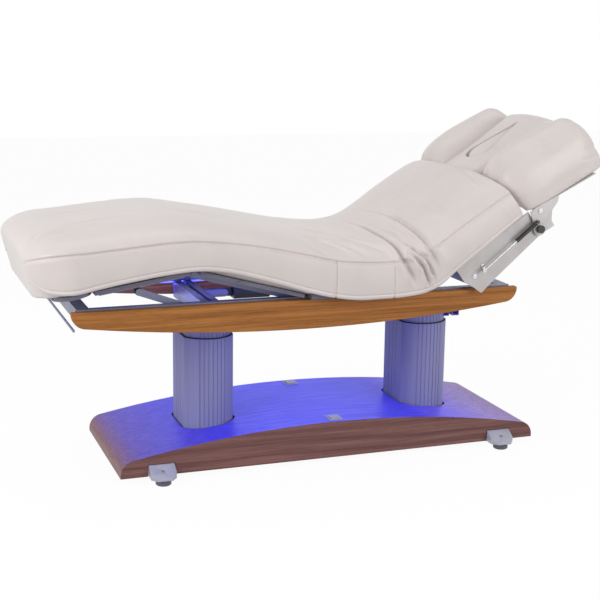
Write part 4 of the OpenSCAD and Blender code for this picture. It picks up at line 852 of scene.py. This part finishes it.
def puffed(thing):   # cloth blown up with its underside held and its travel capped, then one subdivision
    skin = thing.modifiers.new("skin", "REMESH")
    skin.mode, skin.voxel_size = "VOXEL", puffing["voxel"]
    start = vertexPlaces(bake(thing))
    held = thing.vertex_groups.new(name="held")
    held.add([int(i) for i in np.nonzero(aboveBoard(start) < puffing["heldBelow"])[0]], 1.0, "REPLACE")
    cloth = thing.modifiers.new("padding", "CLOTH").settings
    cloth.use_pressure, cloth.uniform_pressure_force = True, puffing["pressure"]
    cloth.effector_weights.gravity = 0
    cloth.vertex_group_mass, cloth.quality = "held", puffing["quality"]
    for frameNumber in range(1, puffing["frames"] + 1):
        scene.frame_set(frameNumber)
    travel = vertexPlaces(bake(thing)) - start
    size = np.linalg.norm(travel, axis=1, keepdims=True)
    travel *= puffing["travel"] * np.tanh(size / puffing["travel"]) / np.maximum(size, 1e-9)
    thing.data.vertices.foreach_set("co", (start + travel).ravel())
    scene.frame_set(1)
    thing.vertex_groups.clear()
    finer = thing.modifiers.new("finer", "SUBSURF")
    finer.levels = finer.render_levels = 1
    bake(thing)
    thing.data.shade_smooth()
    finishWith(thing, "leatherette")
    print(thing.name, "padded, greatest travel", round(float(size.max()), 4))
    return thing


def makeBolster(name, side):
    c, rings = bolster, []
    for i in range(c["rings"] + 1):
        s = c["start"] + (c["end"] - c["start"]) * (1 - math.cos(math.pi * i / c["rings"])) / 2
        outer = c["half"] * (1 - (1 - c["narrowShare"]) * max(s, 0) / c["end"])
        inner = innerEdge(s) + c["gap"]
        fromFoot = s - c["start"]
        foot, end = ease(fromFoot / c["footRound"]), ease((c["end"] - s) / c["endRound"])
        grow = c["leastWidth"] + (1 - c["leastWidth"]) * min(foot, end)
        tall = min(c["footHeight"] + (1 - c["footHeight"]) * foot, c["endHeight"] + (1 - c["endHeight"]) * end)
        lean = -head["lean"] * max(0, 1 - fromFoot / head["footLength"])
        y, n = loafRing((outer - inner) / 2 * grow, c["height"] * tall, c["flatShare"], c["seamShare"], c["crown"],
                        14, lips=(c["lip"], 0.0)).T
        wave = np.sin(y * c["puckerCount"] + c["puckerShift"] * side) * smoothStep(n.max() / 0.2)
        n = n + c["puckers"] * wave * math.exp(-fromFoot / c["puckerLength"]) * (n > c["puckerAbove"])
        rings.append(onHead(s + lean * n, side * ((outer + inner) / 2 + y), n))
    thing = puffed(makeShell(name, rings))
    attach(thing, "head_section")
    return softPart(thing)


def plugOutline(inset, count):
    r = plug["radius"] - inset
    reach = (plug["tip"] - plug["centre"]) * r / plug["radius"]
    lean = math.acos(r / reach)
    arc = [(plug["centre"] + r * math.cos(a), r * math.sin(a)) for a in np.linspace(lean, 2 * math.pi - lean, count)]
    return np.array([(plug["centre"] + reach, 0.0)] + arc).T


def makePad():   # middle pad with the drop-shaped hole for the plug
    h, rings = head, []
    for i in range(h["padRings"] + 1):
        s = h["padStart"] + (h["padEnd"] - h["padStart"]) * math.sin(math.pi / 2 * i / h["padRings"])
        height = h["padHeightFoot"] + (h["padHeightEnd"] - h["padHeightFoot"]) * (s - h["padStart"]) / h["padEnd"]
        height *= h["padEndHeight"] + (1 - h["padEndHeight"]) * ease((h["padEnd"] - s) / h["padEndRound"])
        lean = -h["lean"] * max(0, 1 - (s - h["padStart"]) / h["footLength"])
        y, n = loafRing(innerEdge(s), height, h["padShoulder"], h["padShoulder"], h["padCrown"], 12).T
        rings.append(onHead(s + lean * n, y, n))
    thing = sharpRims(makeShell("headPad", rings), 50)
    s, y = plugOutline(-plug["gap"], 48)
    cutter = makeShell("plugCutter", [onHead(s, y, n - h["boardTop"]) for n in plug["cut"]], smooth=False)
    hole = thing.modifiers.new("faceHole", "BOOLEAN")
    hole.operation, hole.object, hole.solver = "DIFFERENCE", cutter, "EXACT"
    bake(thing)
    thing.data.set_sharp_from_angle(angle=math.radians(50))
    bpy.data.objects.remove(cutter)
    finishWith(thing, "leatherette")
    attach(thing, "head_section")
    return softPart(thing)


def makePlug():
    rise = (head["padHeightEnd"] - head["padHeightFoot"]) / head["padEnd"]
    top = head["padHeightFoot"] + plug["rise"]
    rings = []
    for n, inset in plug["sides"] + [(top + n, inset) for n, inset in plug["crown"]]:
        s, y = plugOutline(inset, 60)
        rings.append(onHead(s, y, n + (rise * s if n > 0.05 else 0)))
    thing = makeShell("facePlug", rings)
    thing.data.set_sharp_from_angle(angle=math.radians(55))
    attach(thing, "plug")
    return softPart(thing)


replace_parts(makePad(), "head_pad")
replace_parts(makePlug(), "face_plug")
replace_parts(makeBolster("bolsterFront", -1), "head_bolsters")
makeBolster("bolsterRear", 1)
print("head cushions made")

# rigid pieces with broken edges
brokenEdges = {
    "wood_rail_front": {"as": "railFront", "edge": 0.0025, "over": 32},
    "wood_rail_rear": {"as": "railRear", "edge": 0.0025, "over": 32},
    "foot_brackets": {"as": "footCastings", "edge": 0.0022, "over": 20},
}
for name, look in brokenEdges.items():
    softened(name, look)
print("edges broken on", len(brokenEdges), "pieces")

# camera, lamps, world and floor
cameraPose = {"right": (0.940756, -0.338772, 0.014584), "up": (0.05804, 0.203254, 0.977404),
              "ahead": (0.334081, 0.918652, -0.210874), "spot": (-1.496892, -3.991333, 1.416161),
              "focal": 1278.14, "pixels": 600, "film": 36}
camera = addObject("camera", bpy.data.cameras.new("camera"))
turn = Matrix((cameraPose["right"], cameraPose["up"], [-c for c in cameraPose["ahead"]])).transposed().to_4x4()
camera.matrix_world = Matrix.Translation(Vector(cameraPose["spot"]) + Vector((baseX, 0, 0))) @ turn
camera.data.sensor_width = cameraPose["film"]
camera.data.lens = cameraPose["film"] * cameraPose["focal"] / cameraPose["pixels"]
camera.data.clip_end = 60
scene.camera = camera

white, barBlue, washBlue = (1, 1, 1), (0.10, 0.12, 1.0), (0.16, 0.18, 1.0)
barX, railX = baseX - 0.13, baseX - 0.40
lamps = {   # place, what it points at, size, power, colour
    "keySoftbox": ((-4.0, -1.7, 2.3), (0, 0, 0.6), (2.2, 2.0), 96, white),
    "fillSoftbox": ((2.6, -3.6, 1.7), (0.1, 0, 0.5), (2.2, 1.8), 62, white),
    "topSoftbox": ((0.3, 1.0, 3.6), (0, 0, 0.6), (2.6, 1.6), 14, white),
    "barWashFront": ((barX, -0.27, 0.524), (barX, -0.10, 0.0), (1.3, 0.02), 0.7, barBlue),
    "barWashRear": ((barX, 0.27, 0.524), (barX, 0.10, 0.0), (1.3, 0.02), 0.7, barBlue),
    "underWash": ((baseX - 0.35, 0, 0.50), (baseX - 0.35, 0, 1.0), (0.7, 0.4), 0.7, washBlue),
    "railWash": ((railX, -0.05, 0.62), (railX, 0.30, 0.56), (0.8, 0.05), 0.8, washBlue),
}
for name, (spot, toward, size, power, colour) in lamps.items():
    lamp = bpy.data.lights.new(name, "AREA")
    lamp.shape, lamp.energy, lamp.color = "RECTANGLE", power, colour
    lamp.size, lamp.size_y = size
    thing = addObject(name, lamp)
    thing.location = spot
    thing.rotation_euler = (Vector(toward) - Vector(spot)).to_track_quat("-Z", "Y").to_euler()

studio = {"world": 0.44, "floor": (0.55, 0.55, 0.55, 1), "floorSeen": 1.06, "floorShare": 0.90, "floorHalf": 12}


def mixFor(tree, share, lit, shown, kind):   # what lights the object, and what the camera, gloss and glass see
    tree.nodes.clear()
    first, second = (addNode(tree, node, **values) for node, values in (lit, shown))
    mixer, sink = tree.nodes.new("ShaderNodeMixShader"), tree.nodes.new("ShaderNodeOutput" + kind)
    wire(tree, (math2(tree, "MULTIPLY", seenRays(tree), share), mixer.inputs[0]), (first.outputs[0], mixer.inputs[1]),
         (second.outputs[0], mixer.inputs[2]), (mixer.outputs[0], sink.inputs[0]))


world = bpy.data.worlds.new("studio")
scene.world = world
world.use_nodes = True
plainWhite = (1, 1, 1, 1)
mixFor(world.node_tree, 1.0, ("ShaderNodeBackground", {"Color": plainWhite, "Strength": studio["world"]}),
       ("ShaderNodeBackground", {"Color": plainWhite, "Strength": 1.0}), "World")
half = studio["floorHalf"]
floorMesh = bpy.data.meshes.new("floor")
floorMesh.from_pydata([(-half, -half, 0), (half, -half, 0), (half, half, 0), (-half, half, 0)], [], [(0, 1, 2, 3)])
floor = addObject("floor", floorMesh)
paper = bpy.data.materials.new("paperWhite")
paper.use_nodes = True
mixFor(paper.node_tree, studio["floorShare"], ("ShaderNodeBsdfDiffuse", {"Color": studio["floor"]}),
       ("ShaderNodeEmission", {"Color": plainWhite, "Strength": studio["floorSeen"]}), "Material")
floorMesh.materials.append(paper)
scene.view_settings.view_transform = "Standard"
print("studio set")
